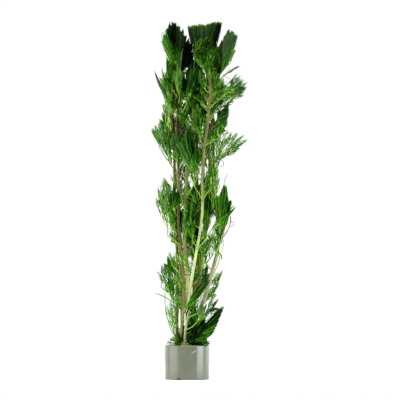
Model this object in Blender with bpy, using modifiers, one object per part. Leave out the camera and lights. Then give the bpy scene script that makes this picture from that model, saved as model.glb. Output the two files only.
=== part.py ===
"""Yellow cabomba: a bunch of eight leafy stems gripped by foam in a short glazed ceramic ring."""

import math

import bmesh
import bpy
from mathutils import Vector, geometry

# Every length is in millimetres until it meets a mesh. X is to the right, -Y is the front, +Z is up, and the
# origin is the centre of the ring's foot.
MM = 0.001
GAP = 0.3

RING_TOP_RADIUS = 13.6
RING_FOOT_RADIUS = 13.8
RING_BORE_RADIUS = 10.9
RING_HEIGHT = 21.4
RIM_ROUND = 0.8
RING_STEPS = 36
RIM_ARC_STEP = 45
CHIP_RADIUS = 2.0
CHIP_CENTRE = (-5.4, -14.5, -0.9)

FOAM_HEIGHT = 18.5
FOAM_SIDES = 28
SOCKET_FLOOR = 1.7
SOCKET_GAP = 1.5 * GAP
SOCKET_SIDES = 12
CUTTER_OVERRUN = 4.0

STEM_FOOT = SOCKET_FLOOR + GAP
STEM_STEP = 12.0
NODE_SWELL = 1.22
NODE_HALF_LENGTH = 1.3
SAME_HEIGHT = 0.01

LEAF_THICKNESS = 0.85
PETIOLE_HALF_WIDTH = 0.4
PLEAT = 0.45
FOLD = 2.2
FORWARD_PULL = 0.12
NARROW_BLADE = 0.3
BACK_LEAF_Y = 5.0
BLADE_ROWS = (0.26, 0.52)
BLADE_PROFILE = (0.75, 1.0, 0.9, 0.7)

# Each stem: radius at its foot, radius at its top, the heights of its leaf nodes, and its route upwards.
STEMS = {
    "stem_front": (
        1.15,
        0.85,
        (30.2, 81.0, 110.8, 143.7, 167.2, 183.3),
        (
            (-1.9, -6.0, STEM_FOOT), (-1.9, -6.0, 19.0), (-0.9, -7.2, 30.2), (1.2, -8.4, 49.4),
            (2.8, -9.0, 61.8), (4.7, -9.4, 73.0), (6.2, -9.8, 81.0), (7.8, -10.2, 89.7), (9.4, -10.8, 102.0),
            (9.7, -11.0, 110.8), (9.3, -11.0, 123.8), (9.9, -11.0, 133.1), (10.5, -11.0, 143.7),
            (12.3, -10.8, 154.8), (13.6, -10.4, 167.2), (14.8, -10.2, 176.5), (14.3, -10.0, 183.3),
            (13.2, -9.6, 191.0),
        ),
    ),
    "stem_centre": (
        1.3,
        0.9,
        (64.9, 112.0, 153.6),
        (
            (1.6, -1.4, STEM_FOOT), (1.6, -1.4, 19.0), (0.4, -2.0, 46.3), (0.6, -2.4, 58.7), (0.3, -2.4, 64.9),
            (-1.2, -2.6, 80.4), (-2.0, -3.2, 95.9), (-0.9, -4.2, 112.0), (0.6, -4.8, 136.2),
            (3.2, -4.5, 153.6), (3.7, -4.0, 164.1), (4.0, -4.0, 176.5),
        ),
    ),
    "stem_left": (
        1.1,
        0.8,
        (26.0, 84.0, 130.0, 163.0),
        (
            (-6.3, 1.0, STEM_FOOT), (-6.3, 1.0, 19.0), (-6.2, 0.4, 49.4), (-5.9, -0.2, 68.0),
            (-6.4, -0.5, 86.6), (-7.2, -0.5, 105.0), (-7.8, -0.5, 120.7), (-7.8, -0.5, 136.2),
            (-8.4, -0.5, 151.7), (-9.3, -0.5, 168.0), (-8.5, -0.8, 177.0), (-7.1, -1.5, 185.5),
        ),
    ),
    "stem_inner_left": (
        1.1,
        0.8,
        (36.1, 60.0, 81.0, 128.0, 161.0),
        (
            (-4.8, -3.3, STEM_FOOT), (-4.8, -3.3, 19.0), (-2.8, -4.0, 36.1), (-1.9, -4.6, 47.0),
            (-1.9, -5.0, 58.7), (-3.1, -5.0, 76.7), (-3.4, -5.0, 84.0), (-5.3, -5.0, 95.3),
            (-5.4, -5.0, 107.1), (-4.8, -5.0, 114.0), (-5.6, -5.0, 128.1), (-5.6, -5.0, 142.4),
            (-5.8, -5.0, 161.0), (-5.4, -5.0, 172.0), (-4.8, -6.0, 183.0),
        ),
    ),
    "stem_middle": (
        1.35,
        0.9,
        (64.0, 84.0, 133.0),
        (
            (4.6, 3.3, STEM_FOOT), (4.6, 3.3, 19.0), (3.6, 2.2, 38.0), (4.6, 1.0, 51.3), (6.8, 0.6, 60.0),
            (7.7, 0.4, 68.0), (7.9, 0.6, 86.6), (6.4, 1.4, 111.4), (5.6, 2.0, 133.0), (6.2, 2.6, 154.8),
            (7.2, 2.6, 173.4), (7.6, 2.6, 187.0),
        ),
    ),
    "stem_right": (
        1.25,
        0.85,
        (45.0, 79.5, 99.0, 133.0, 157.0, 176.0),
        (
            (6.8, -2.7, STEM_FOOT), (6.8, -2.7, 19.0), (7.6, -3.2, 36.0), (9.2, -3.6, 46.5),
            (12.4, -3.6, 54.4), (15.2, -3.2, 65.5), (18.3, -2.6, 76.7), (19.9, -2.2, 86.6),
            (19.0, -1.6, 99.0), (17.2, -0.8, 114.5), (14.6, 0.0, 130.0), (13.4, 0.4, 144.3),
            (15.2, 0.6, 157.0), (16.4, 0.6, 167.2), (16.9, 0.4, 176.5), (19.2, 0.0, 184.5),
        ),
    ),
    "stem_back_left": (
        1.1,
        0.8,
        (52.0, 92.0, 140.0),
        (
            (-2.6, 5.4, STEM_FOOT), (-2.6, 5.4, 19.0), (-3.4, 6.4, 45.0), (-4.6, 7.6, 80.0),
            (-5.6, 8.2, 115.0), (-5.0, 8.4, 150.0), (-4.2, 8.0, 183.0),
        ),
    ),
    "stem_back_right": (
        1.1,
        0.8,
        (46.0, 88.0, 134.0),
        (
            (1.8, 7.4, STEM_FOOT), (1.8, 7.4, 19.0), (3.4, 8.0, 45.0), (6.6, 8.8, 80.0), (9.6, 9.4, 115.0),
            (10.8, 9.6, 150.0), (12.0, 9.0, 182.0),
        ),
    ),
}

# Each leaf: its stem, the height where it leaves the stem, the points of its leaf stalk (the last one is the
# blade's base), the blade's tips from left to right, the half width of a lock of filaments, and how far up
# the blade the locks part.
LEAVES = {
    "tuft_left": (
        "stem_left", 185.5, ((-6.9, -2.2, 191.0),),
        (
            (-15.4, -9.0, 211.6), (-14.2, -8.6, 215.6), (-12.3, -7.0, 220.2), (-10.0, -6.0, 222.2),
            (-8.0, -5.0, 222.2), (-6.2, -4.0, 221.6), (-4.3, -3.0, 219.6), (-2.5, -2.2, 218.0),
            (-0.9, -2.0, 214.6),
        ),
        1.7, 0.86,
    ),
    "tuft_inner_left": (
        "stem_inner_left", 183.0, ((-4.3, -8.0, 188.5),),
        (
            (-3.4, -12.4, 203.0), (-1.4, -12.6, 209.2), (1.2, -12.6, 211.9), (3.4, -12.4, 207.6),
            (4.0, -12.2, 201.0),
        ),
        1.2, 0.84,
    ),
    "tuft_middle": (
        "stem_middle", 187.0, ((7.0, 3.0, 191.5),),
        (
            (0.9, 4.0, 219.3), (3.4, 3.6, 219.9), (5.9, 3.2, 220.6), (8.2, 3.0, 220.8), (10.6, 3.4, 219.4),
        ),
        1.7, 0.9,
    ),
    "tuft_front": (
        "stem_front", 191.0, ((13.0, -8.4, 194.5),),
        (
            (9.2, -2.0, 219.6), (11.8, -3.0, 220.0), (14.2, -4.0, 220.4), (16.6, -5.0, 221.8),
            (18.8, -6.0, 221.6), (20.6, -6.6, 221.0),
        ),
        2.3, 0.92,
    ),
    "leaf_front_1_left": (
        "stem_front", 184.0, ((10.0, -13.0, 193.0), (5.6, -14.0, 198.6), (4.6, -14.4, 202.4)),
        ((8.6, -14.6, 211.0), (12.6, -14.4, 213.4), (16.0, -14.0, 213.6), (17.0, -14.2, 208.4)),
        1.4, 0.7,
    ),
    "tuft_right": (
        "stem_right", 184.5, ((20.4, -0.4, 189.0),),
        (
            (18.2, -5.0, 204.4), (20.5, -4.6, 208.8), (23.2, -4.0, 212.8), (26.3, -3.0, 216.5),
            (28.8, -2.0, 214.6), (31.6, -1.0, 212.3), (30.0, 0.0, 205.6),
        ),
        1.5, 0.84,
    ),
    "leaf_left_2_left": (
        "stem_left", 163.0, ((-11.4, -2.2, 170.0),),
        ((-17.2, -3.6, 187.6), (-15.8, -3.8, 193.9), (-13.9, -3.6, 187.4)),
        1.3, 0.66,
    ),
    "leaf_left_2_right": (
        "stem_left", 164.5, ((-10.4, 2.6, 172.0),),
        ((-12.9, 4.0, 194.4), (-10.6, 4.2, 189.0), (-8.2, 4.0, 186.0)),
        1.4, 0.66,
    ),
    "leaf_inner_left_2_left": (
        "stem_inner_left", 161.0, ((-9.4, -7.6, 166.0),),
        ((-20.2, -9.4, 191.4), (-15.2, -9.2, 182.0)),
        0.9, 0.7,
    ),
    "leaf_inner_left_2_right": (
        "stem_inner_left", 161.5, ((-1.6, -8.2, 168.0), (0.2, -8.6, 172.2)),
        ((0.6, -8.8, 192.6), (2.8, -8.6, 196.2), (5.6, -8.2, 197.4), (8.4, -7.8, 195.4), (10.4, -7.2, 190.4)),
        1.5, 0.78,
    ),
    "leaf_centre_2_right": (
        "stem_centre", 153.6, ((6.4, -6.0, 156.6),),
        ((3.4, -7.0, 168.6), (5.2, -7.2, 172.4), (7.0, -7.2, 173.0), (8.4, -7.0, 168.6)),
        1.3, 0.74,
    ),
    "leaf_front_2_left": (
        "stem_front", 167.2, ((10.8, -8.2, 170.4), (8.6, -7.0, 174.6)),
        ((9.2, -5.8, 184.6), (11.4, -5.8, 187.2), (12.8, -5.8, 183.6)),
        1.3, 0.7,
    ),
    "leaf_front_2_right": (
        "stem_front", 167.6, ((16.4, -12.2, 170.4), (20.0, -12.6, 173.4)),
        (
            (31.7, -13.2, 189.9), (33.3, -13.0, 188.4), (35.2, -12.8, 186.4), (37.5, -12.6, 184.2),
            (38.0, -12.4, 181.5), (35.4, -12.2, 176.4),
        ),
        1.4, 0.76,
    ),
    "leaf_right_1_right": (
        "stem_right", 183.0, ((22.6, 1.8, 188.4),),
        ((32.0, 3.4, 194.8), (33.8, 3.4, 195.4)),
        0.5, 0.8,
    ),
    "leaf_right_2_right": (
        "stem_right", 172.5, ((19.2, -3.4, 176.0),),
        ((17.8, -5.0, 186.0), (20.2, -5.2, 188.4), (22.8, -5.2, 186.8), (24.6, -5.0, 182.6)),
        1.1, 0.74,
    ),
    "leaf_right_3_right": (
        "stem_right", 156.0, ((18.6, -3.6, 158.6),),
        ((20.6, -6.6, 167.2), (23.6, -6.8, 169.8), (26.2, -6.8, 172.6), (26.4, -6.6, 165.6), (25.0, -6.4, 157.6)),
        1.4, 0.78,
    ),
    "leaf_front_3_right": (
        "stem_front", 144.5, ((16.0, -13.4, 148.0), (19.6, -13.8, 149.4)),
        ((20.4, -14.2, 160.0), (23.4, -14.2, 157.8), (25.6, -14.0, 154.4)),
        1.4, 0.68,
    ),
    "leaf_right_4_right": (
        "stem_right", 132.0, ((17.0, -4.4, 134.4),),
        (
            (20.6, -9.4, 150.0), (24.0, -9.6, 152.0), (27.3, -9.6, 153.8), (31.6, -9.4, 153.4),
            (35.8, -9.2, 151.8), (37.7, -9.0, 149.2), (33.0, -8.8, 143.6),
        ),
        1.5, 0.74,
    ),
    "leaf_front_3_left": (
        "stem_front", 144.0, ((8.2, -13.2, 148.4),),
        ((4.2, -13.8, 163.4), (6.8, -14.0, 166.2), (9.6, -13.8, 163.2)),
        1.5, 0.7,
    ),
    "leaf_left_3_left": (
        "stem_left", 130.0, ((-9.6, -4.2, 132.6),),
        (
            (-22.3, -9.4, 156.9), (-20.1, -9.2, 158.0), (-17.6, -9.0, 159.2), (-15.6, -8.8, 159.2),
            (-12.0, -8.6, 151.6),
        ),
        1.5, 0.82,
    ),
    "leaf_inner_left_3_left": (
        "stem_inner_left", 129.0, ((-6.0, -8.0, 134.0),),
        ((-11.2, -11.0, 149.8), (-9.2, -11.0, 153.6), (-6.6, -11.0, 155.4), (-4.0, -10.6, 152.4)),
        1.3, 0.74,
    ),
    "leaf_centre_3_right": (
        "stem_centre", 112.0, ((1.6, -12.0, 116.4), (6.2, -13.6, 124.6)),
        (
            (-6.4, -13.0, 147.6), (-3.2, -13.2, 150.4), (0.8, -13.4, 156.4), (3.2, -13.6, 154.6),
            (5.6, -13.8, 147.2),
        ),
        1.7, 0.84,
    ),
    "leaf_front_4_left": (
        "stem_front", 110.8, ((6.4, -14.4, 117.0), (4.7, -15.4, 119.4)),
        ((1.8, -16.4, 131.6), (4.6, -16.6, 134.6), (7.4, -16.4, 132.6)),
        1.5, 0.66,
    ),
    "leaf_front_4_right": (
        "stem_front", 111.6, ((12.4, -13.0, 115.6), (15.0, -13.6, 119.0)),
        ((13.8, -13.8, 134.0), (16.4, -13.8, 137.0), (18.8, -13.8, 133.6)),
        1.4, 0.66,
    ),
    "leaf_inner_left_4_left": (
        "stem_inner_left", 101.0, ((-7.6, -7.6, 103.6),),
        ((-10.2, -8.2, 115.8), (-8.3, -8.4, 121.8), (-5.2, -8.2, 117.4)),
        1.6, 0.72,
    ),
    "leaf_inner_left_5_left": (
        "stem_inner_left", 83.0, ((-7.6, -9.0, 86.2), (-11.8, -10.4, 89.4), (-11.8, -10.8, 93.4)),
        (
            (-19.6, -11.4, 113.0), (-18.2, -11.4, 119.8), (-16.8, -11.4, 121.2), (-14.5, -11.2, 123.0),
            (-12.2, -11.0, 121.8),
        ),
        1.3, 0.66,
    ),
    "leaf_left_4_left": (
        "stem_left", 84.0, ((-7.6, -3.2, 86.6),),
        ((-11.6, -4.2, 107.4), (-9.2, -4.2, 110.0), (-7.2, -3.8, 106.0)),
        1.4, 0.7,
    ),
    "leaf_right_5_left": (
        "stem_right", 99.0, ((16.2, -6.2, 105.6),),
        ((13.4, -8.2, 128.0), (15.8, -8.4, 132.4), (18.4, -8.4, 132.8), (20.2, -8.2, 125.4)),
        1.4, 0.6,
    ),
    "leaf_right_6_right": (
        "stem_right", 79.5, ((21.0, -7.0, 87.4),),
        ((20.0, -10.4, 114.6), (22.9, -10.6, 121.4), (24.5, -10.6, 120.2), (25.8, -10.4, 111.6)),
        2.4, 0.84,
    ),
    "leaf_front_5_right": (
        "stem_front", 81.0, ((11.0, -13.0, 86.4), (14.4, -14.0, 91.8)),
        ((22.6, -14.4, 101.6), (30.7, -14.4, 107.7)),
        1.3, 0.6,
    ),
    "leaf_middle_2_left": (
        "stem_middle", 84.0, ((3.4, -1.4, 87.0),),
        ((0.4, -1.6, 109.0), (3.2, -1.6, 112.0), (6.0, -1.6, 109.4)),
        1.8, 0.74,
    ),
    "leaf_middle_2_right": (
        "stem_middle", 85.5, ((12.0, -2.6, 89.0),),
        ((9.4, -4.4, 119.4), (12.4, -4.6, 123.4), (15.0, -4.6, 117.4)),
        2.0, 0.74,
    ),
    "leaf_middle_1_right": (
        "stem_middle", 64.0, ((9.0, -5.6, 68.0),),
        (
            (6.8, -6.4, 84.0), (9.2, -6.6, 88.4), (12.2, -6.8, 90.4), (15.2, -6.6, 87.0),
            (16.6, -6.2, 81.0),
        ),
        1.2, 0.76,
    ),
    "leaf_front_6_left": (
        "stem_front", 81.6, ((3.4, -12.6, 86.4),),
        ((-0.2, -13.6, 97.4), (2.2, -13.8, 101.0), (4.6, -13.6, 98.0)),
        1.4, 0.66,
    ),
    "leaf_inner_left_6_left": (
        "stem_inner_left", 43.0, ((-4.9, -8.4, 51.0), (-9.2, -10.0, 50.4)),
        ((-18.4, -10.8, 67.3), (-16.0, -10.8, 71.6), (-14.5, -10.8, 72.3), (-11.8, -10.6, 70.2)),
        1.4, 0.7,
    ),
    "leaf_inner_left_7_left": (
        "stem_inner_left", 60.0, ((-4.6, -7.4, 65.4),),
        ((-12.0, -8.4, 79.3), (-10.6, -8.4, 79.6), (-7.6, -8.2, 73.4)),
        1.3, 0.66,
    ),
    "leaf_left_5_left": (
        "stem_left", 26.0, ((-8.0, -2.6, 29.0),),
        ((-12.6, -4.0, 47.0), (-10.6, -4.2, 50.0), (-8.2, -4.0, 49.0), (-5.8, -3.6, 46.0)),
        1.5, 0.66,
    ),
    "leaf_right_7_right": (
        "stem_right", 45.0, ((11.8, -8.2, 48.8),),
        ((22.0, -9.6, 68.0), (20.2, -9.8, 60.0), (18.4, -9.6, 52.4)),
        1.4, 0.66,
    ),
    "leaf_right_8_right": (
        "stem_right", 34.0, ((11.6, -7.0, 40.6),),
        ((15.8, -7.8, 50.4), (19.6, -8.0, 50.4), (20.7, -8.2, 43.9)),
        1.4, 0.6,
    ),
    "leaf_front_7_right": (
        "stem_front", 23.4, ((2.2, -9.8, 24.8),),
        (
            (23.2, -12.4, 45.6), (20.6, -12.2, 38.6), (18.6, -12.0, 33.8), (16.8, -11.6, 29.8),
            (12.0, -11.0, 25.0),
        ),
        1.3, 0.84,
    ),
    "leaf_inner_left_8_right": (
        "stem_inner_left", 37.5, ((-2.4, -11.0, 42.0),),
        ((11.2, -12.8, 61.4), (14.2, -12.8, 62.4)),
        1.9, 0.8,
    ),
    "leaf_front_8_right": (
        "stem_front", 30.8, ((3.4, -14.2, 33.2), (7.0, -15.4, 37.0)),
        ((9.2, -16.0, 48.0), (12.2, -16.0, 47.4), (14.4, -15.8, 42.6)),
        1.4, 0.62,
    ),
    "tuft_back_left": (
        "stem_back_left", 183.0, ((-4.4, 9.2, 188.4),),
        (
            (-10.6, 12.0, 207.0), (-8.6, 15.0, 213.0), (-5.6, 16.0, 216.5), (-2.6, 15.0, 213.5),
            (-0.8, 12.0, 206.0),
        ),
        1.8, 0.84,
    ),
    "tuft_back_right": (
        "stem_back_right", 182.0, ((12.6, 10.2, 187.0),),
        (
            (8.0, 12.6, 208.0), (10.4, 15.4, 214.5), (14.0, 16.6, 217.2), (17.6, 15.6, 213.0),
            (19.6, 12.8, 206.0),
        ),
        1.8, 0.84,
    ),
    "leaf_back_left_2": (
        "stem_back_left", 140.0, ((-8.4, 11.6, 145.0),),
        ((-17.6, 14.0, 162.0), (-15.6, 17.0, 166.4), (-12.0, 19.2, 168.6), (-8.0, 19.6, 165.0)),
        1.8, 0.78,
    ),
    "leaf_back_left_3": (
        "stem_back_left", 92.0, ((-8.4, 10.6, 97.0),),
        ((-17.6, 12.0, 112.0), (-16.0, 15.0, 117.0), (-12.4, 17.4, 119.4), (-8.4, 18.0, 116.0)),
        1.8, 0.78,
    ),
    "leaf_back_left_4": (
        "stem_back_left", 52.0, ((-6.4, 9.6, 57.0),),
        ((-14.6, 11.6, 72.0), (-12.4, 14.4, 76.4), (-8.6, 16.2, 76.8), (-5.2, 16.4, 73.0)),
        1.8, 0.76,
    ),
    "leaf_back_right_2": (
        "stem_back_right", 134.0, ((13.8, 12.6, 139.0),),
        ((12.6, 18.4, 162.0), (16.4, 18.8, 166.0), (20.4, 17.6, 164.4), (23.4, 15.0, 158.6)),
        1.8, 0.78,
    ),
    "leaf_back_right_3": (
        "stem_back_right", 88.0, ((10.6, 12.2, 93.0),),
        ((9.4, 17.6, 115.0), (13.4, 18.6, 119.4), (17.6, 17.8, 117.0), (21.0, 15.4, 111.0)),
        1.8, 0.78,
    ),
    "leaf_back_right_4": (
        "stem_back_right", 46.0, ((6.4, 11.2, 51.0),),
        ((5.6, 15.8, 70.0), (9.4, 16.6, 73.6), (13.4, 15.6, 71.4), (16.0, 13.4, 66.0)),
        1.8, 0.76,
    ),
}


def clear_scene():
    for thing in list(bpy.data.objects):
        bpy.data.objects.remove(thing)


def new_collection(name):
    collection = bpy.data.collections.new(name)
    bpy.context.scene.collection.children.link(collection)
    return collection


def make_material(name, colour, roughness):
    material = bpy.data.materials.new(name)
    material.use_nodes = True
    shader = material.node_tree.nodes["Principled BSDF"]
    shader.inputs["Base Color"].default_value = (*colour, 1.0)
    shader.inputs["Roughness"].default_value = roughness
    shader.inputs["Metallic"].default_value = 0.0
    return material


def place(name, data, collection, material):
    thing = bpy.data.objects.new(name, data)
    collection.objects.link(thing)
    data.materials.append(material)
    return thing


def metres(point):
    return Vector(point) * MM


def smooth_route(points, step):
    """Points about one step apart on a smooth curve through the given ones."""
    points = [Vector(p) for p in points]
    route = []
    for i in range(len(points) - 1):
        before = points[max(i - 1, 0)]
        after = points[min(i + 2, len(points) - 1)]
        start = points[i]
        end = points[i + 1]
        pieces = max(1, round((end - start).length / step))
        handle_a = start + (end - before) / 6
        handle_b = end - (after - start) / 6
        curve = geometry.interpolate_bezier(start, handle_a, handle_b, end, pieces + 1)
        route += curve[:-1]
    route.append(points[-1])
    return route


def point_at_height(route, height):
    for low, high in zip(route, route[1:]):
        if low.z <= height <= high.z:
            return low.lerp(high, (height - low.z) / (high.z - low.z))
    return route[-1].copy()


def radius_at_height(stem, height):
    foot_radius, top_radius, _, points = STEMS[stem]
    low = points[0][2]
    high = points[-1][2]
    return foot_radius + (top_radius - foot_radius) * (height - low) / (high - low)


def stem_route(stem):
    """The stem's centre line, with three close points at each leaf node for its swelling."""
    nodes = STEMS[stem][2]
    route = smooth_route(STEMS[stem][3], STEM_STEP)
    clear = [p for p in route if all(abs(p.z - node) > 2 * NODE_HALF_LENGTH for node in nodes)]
    for node in nodes:
        for height in (node - NODE_HALF_LENGTH, node, node + NODE_HALF_LENGTH):
            clear.append(point_at_height(route, height))
    clear.append(route[-1])
    return sorted(clear, key=lambda point: point.z)


def make_ring(collection, cutters, material):
    """A turned tube with rounded rims, and a small chip out of its front foot."""
    profile = []
    corners = (
        (RING_BORE_RADIUS, RING_HEIGHT, 1, 180), (RING_TOP_RADIUS, RING_HEIGHT, -1, 90),
        (RING_FOOT_RADIUS, 0.0, -1, 0), (RING_BORE_RADIUS, 0.0, 1, 270),
    )
    for radius, height, inward, first in corners:
        centre_x = radius + inward * RIM_ROUND
        centre_z = height - RIM_ROUND if height > 0 else RIM_ROUND
        for step in range(3):
            angle = math.radians(first - RIM_ARC_STEP * step)
            across = centre_x + RIM_ROUND * math.cos(angle)
            profile.append((across * MM, 0.0, (centre_z + RIM_ROUND * math.sin(angle)) * MM))
    mesh = bpy.data.meshes.new("ceramic_ring")
    edges = [(i, (i + 1) % len(profile)) for i in range(len(profile))]
    mesh.from_pydata(profile, edges, [])
    ring = place("ceramic_ring", mesh, collection, material)
    turn = ring.modifiers.new("turn", "SCREW")
    turn.angle = math.radians(360)
    turn.steps = RING_STEPS
    turn.render_steps = RING_STEPS
    turn.use_merge_vertices = True
    turn.merge_threshold = 0.00001

    bpy.ops.mesh.primitive_ico_sphere_add(
        subdivisions=2, radius=CHIP_RADIUS * MM, location=metres(CHIP_CENTRE)
    )
    chip = bpy.context.object
    chip.name = "chip_cutter"
    move_to_cutters(chip, cutters)
    cut = ring.modifiers.new("chip", "BOOLEAN")
    cut.operation = "DIFFERENCE"
    cut.solver = "EXACT"
    cut.object = chip
    return ring


def move_to_cutters(thing, cutters):
    for collection in list(thing.users_collection):
        collection.objects.unlink(thing)
    cutters.objects.link(thing)
    thing.hide_render = True
    thing.display_type = "WIRE"


def make_foam(collection, cutters, material):
    """A plug that fills the bore, with one blind socket for each stem."""
    mesh = bpy.data.meshes.new("foam_plug")
    form = bmesh.new()
    bmesh.ops.create_cone(
        form, cap_ends=True, segments=FOAM_SIDES, radius1=(RING_BORE_RADIUS - GAP) * MM,
        radius2=(RING_BORE_RADIUS - GAP) * MM, depth=FOAM_HEIGHT * MM,
    )
    bmesh.ops.translate(form, verts=form.verts, vec=(0, 0, FOAM_HEIGHT * MM / 2))
    form.to_mesh(mesh)
    form.free()
    foam = place("foam_plug", mesh, collection, material)
    depth = FOAM_HEIGHT + CUTTER_OVERRUN - SOCKET_FLOOR
    for stem, (foot_radius, _, _, points) in STEMS.items():
        bpy.ops.mesh.primitive_cylinder_add(
            vertices=SOCKET_SIDES, radius=(foot_radius + SOCKET_GAP) * MM, depth=depth * MM,
            location=metres((points[0][0], points[0][1], SOCKET_FLOOR + depth / 2)),
        )
        socket = bpy.context.object
        socket.name = "socket_" + stem
        move_to_cutters(socket, cutters)
        cut = foam.modifiers.new(socket.name, "BOOLEAN")
        cut.operation = "DIFFERENCE"
        cut.solver = "EXACT"
        cut.object = socket
    return foam


def make_stem(stem, collection, material):
    """A tapering round stem that swells a little at each leaf node."""
    curve = bpy.data.curves.new(stem, "CURVE")
    curve.dimensions = "3D"
    curve.bevel_depth = MM
    curve.bevel_resolution = 1
    curve.use_fill_caps = True
    route = stem_route(stem)
    spline = curve.splines.new("POLY")
    spline.points.add(len(route) - 1)
    for slot, point in zip(spline.points, route):
        slot.co = (*metres(point), 1.0)
        slot.radius = radius_at_height(stem, point.z)
        if any(abs(point.z - node) < SAME_HEIGHT for node in STEMS[stem][2]):
            slot.radius *= NODE_SWELL
    return place(stem, curve, collection, material)


def blade_normal(base, tips):
    """The way a blade faces, worked out from its two outer tips, or the front for a narrow one."""
    normal = (tips[0] - base).cross(tips[-1] - base)
    flat = normal.length / ((tips[0] - base).length * (tips[-1] - base).length)
    return normal.normalized() if flat > NARROW_BLADE else Vector((0.0, 1.0, 0.0))


def lock_path(base, tip, forward, part):
    """A point on the curved middle line of one lock of filaments."""
    span = (tip - base).length
    handle = base + forward * span * FORWARD_PULL + (tip - base) * (0.5 - FORWARD_PULL)
    return base * (1 - part) ** 2 + handle * 2 * part * (1 - part) + tip * part**2


def make_leaf(name, collection, material):
    """A stalk and a fan of locks as one thin sheet, pleated between the locks and given its thickness."""
    stem, height, stalk, tips, half_width, fork = LEAVES[name]
    root = point_at_height(smooth_route(STEMS[stem][3], STEM_STEP), height)
    stalk = [Vector(p) for p in stalk]
    tips = [Vector(p) for p in tips]
    out = (stalk[0] - root).normalized()
    clearance = radius_at_height(stem, height) * NODE_SWELL + GAP + LEAF_THICKNESS / 2
    if height < STEMS[stem][3][-1][2] - SAME_HEIGHT:
        level = Vector((out.x, out.y, 0.0))
        start = root + out * (clearance / level.length)
    else:
        start = root + out * (GAP + LEAF_THICKNESS / 2)
    path = [start] + stalk
    base = path[-1]
    forward = (sum(tips, Vector()) / len(tips) - base).normalized()
    normal = blade_normal(base, tips)
    fold = FOLD if base.y < BACK_LEAF_Y else -FOLD

    form = bmesh.new()
    left = []
    right = []
    for i, point in enumerate(path):
        along = path[min(i + 1, len(path) - 1)] - path[max(i - 1, 0)]
        if i == len(path) - 1:
            along = along.normalized() + forward
        across = normal.cross(along).normalized() * PETIOLE_HALF_WIDTH
        left.append(form.verts.new(metres(point - across)))
        right.append(form.verts.new(metres(point + across)))
    for i in range(len(path) - 1):
        form.faces.new((left[i], right[i], right[i + 1], left[i + 1]))

    rows = []
    for part, swell in zip((*BLADE_ROWS, fork), BLADE_PROFILE):
        middles = [lock_path(base, tip, forward, part) for tip in tips]
        edge = half_width * swell
        row = [middles[0] - normal.cross(middles[0] - base).normalized() * edge]
        row += [(a + b) / 2 for a, b in zip(middles, middles[1:])]
        row.append(middles[-1] + normal.cross(middles[-1] - base).normalized() * edge)
        for i in range(1, len(row) - 1):
            share = i / len(tips)
            row[i].y += PLEAT * (1 if i % 2 else -1) - fold * 4 * share * (1 - share) * part
        rows.append([form.verts.new(metres(p)) for p in row])

    first = rows[0]
    middle = len(first) // 2
    for i in range(len(first) - 1):
        corner = left[-1] if i < middle else right[-1]
        form.faces.new((corner, first[i + 1], first[i]))
    form.faces.new((left[-1], right[-1], first[middle]))
    for low, high in zip(rows, rows[1:]):
        for i in range(len(low) - 1):
            form.faces.new((low[i], low[i + 1], high[i + 1], high[i]))

    last = rows[-1]
    part = fork + (1 - fork) * 0.5
    for i, tip in enumerate(tips):
        at_fork = lock_path(base, tip, forward, fork)
        centre = lock_path(base, tip, forward, part)
        sides = [
            form.verts.new(metres(centre + (corner.co / MM - at_fork) * BLADE_PROFILE[-1]))
            for corner in (last[i], last[i + 1])
        ]
        point = form.verts.new(metres(tip))
        form.faces.new((last[i], last[i + 1], sides[1], sides[0]))
        form.faces.new((sides[0], sides[1], point))

    thicken(form, normal)
    mesh = bpy.data.meshes.new(name)
    form.to_mesh(mesh)
    form.free()
    return place(name, mesh, collection, material)


def thicken(form, normal):
    """Makes a closed leaf of the sheet, with both faces split alike so that they can't cross."""
    bmesh.ops.triangulate(form, faces=form.faces)
    extruded = bmesh.ops.extrude_face_region(form, geom=form.faces[:], use_keep_orig=True)
    far_side = [part for part in extruded["geom"] if isinstance(part, bmesh.types.BMVert)]
    thickness = normal * LEAF_THICKNESS * MM
    bmesh.ops.translate(form, verts=form.verts, vec=-thickness / 2)
    bmesh.ops.translate(form, verts=far_side, vec=thickness)
    bmesh.ops.recalc_face_normals(form, faces=form.faces)


def main():
    clear_scene()
    bunch = new_collection("yellow_cabomba")
    cutters = new_collection("cutters")
    glaze = make_material("pale_grey_green_glaze", (0.37, 0.40, 0.31), 0.3)
    foam = make_material("grey_foam", (0.16, 0.17, 0.15), 0.95)
    skin = make_material("olive_stem", (0.38, 0.42, 0.16), 0.45)
    green = make_material("wet_leaf_green", (0.07, 0.22, 0.03), 0.45)
    make_ring(bunch, cutters, glaze)
    make_foam(bunch, cutters, foam)
    for stem in STEMS:
        make_stem(stem, bunch, skin)
    for leaf in LEAVES:
        make_leaf(leaf, bunch, green)


main()
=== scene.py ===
# Yellow cabomba: a bunch of feathery water plant stems, gripped by foam in a short glazed ceramic ring.
import math

import bpy
import numpy as np
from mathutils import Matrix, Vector, geometry, noise


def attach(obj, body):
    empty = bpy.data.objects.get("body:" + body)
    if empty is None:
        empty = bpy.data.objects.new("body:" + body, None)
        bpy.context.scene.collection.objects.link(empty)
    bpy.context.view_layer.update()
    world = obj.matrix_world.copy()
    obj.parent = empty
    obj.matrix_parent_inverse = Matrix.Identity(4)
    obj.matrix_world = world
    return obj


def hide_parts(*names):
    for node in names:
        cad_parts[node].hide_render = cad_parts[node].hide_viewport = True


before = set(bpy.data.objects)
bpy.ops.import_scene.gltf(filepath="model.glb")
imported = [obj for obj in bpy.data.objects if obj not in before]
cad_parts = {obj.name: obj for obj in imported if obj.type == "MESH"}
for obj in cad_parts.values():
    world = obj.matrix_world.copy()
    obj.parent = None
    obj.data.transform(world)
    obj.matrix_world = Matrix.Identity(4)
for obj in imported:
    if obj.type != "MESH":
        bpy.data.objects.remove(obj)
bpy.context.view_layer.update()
bpy.ops.object.select_all(action="DESELECT")
print("frame loaded")

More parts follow.
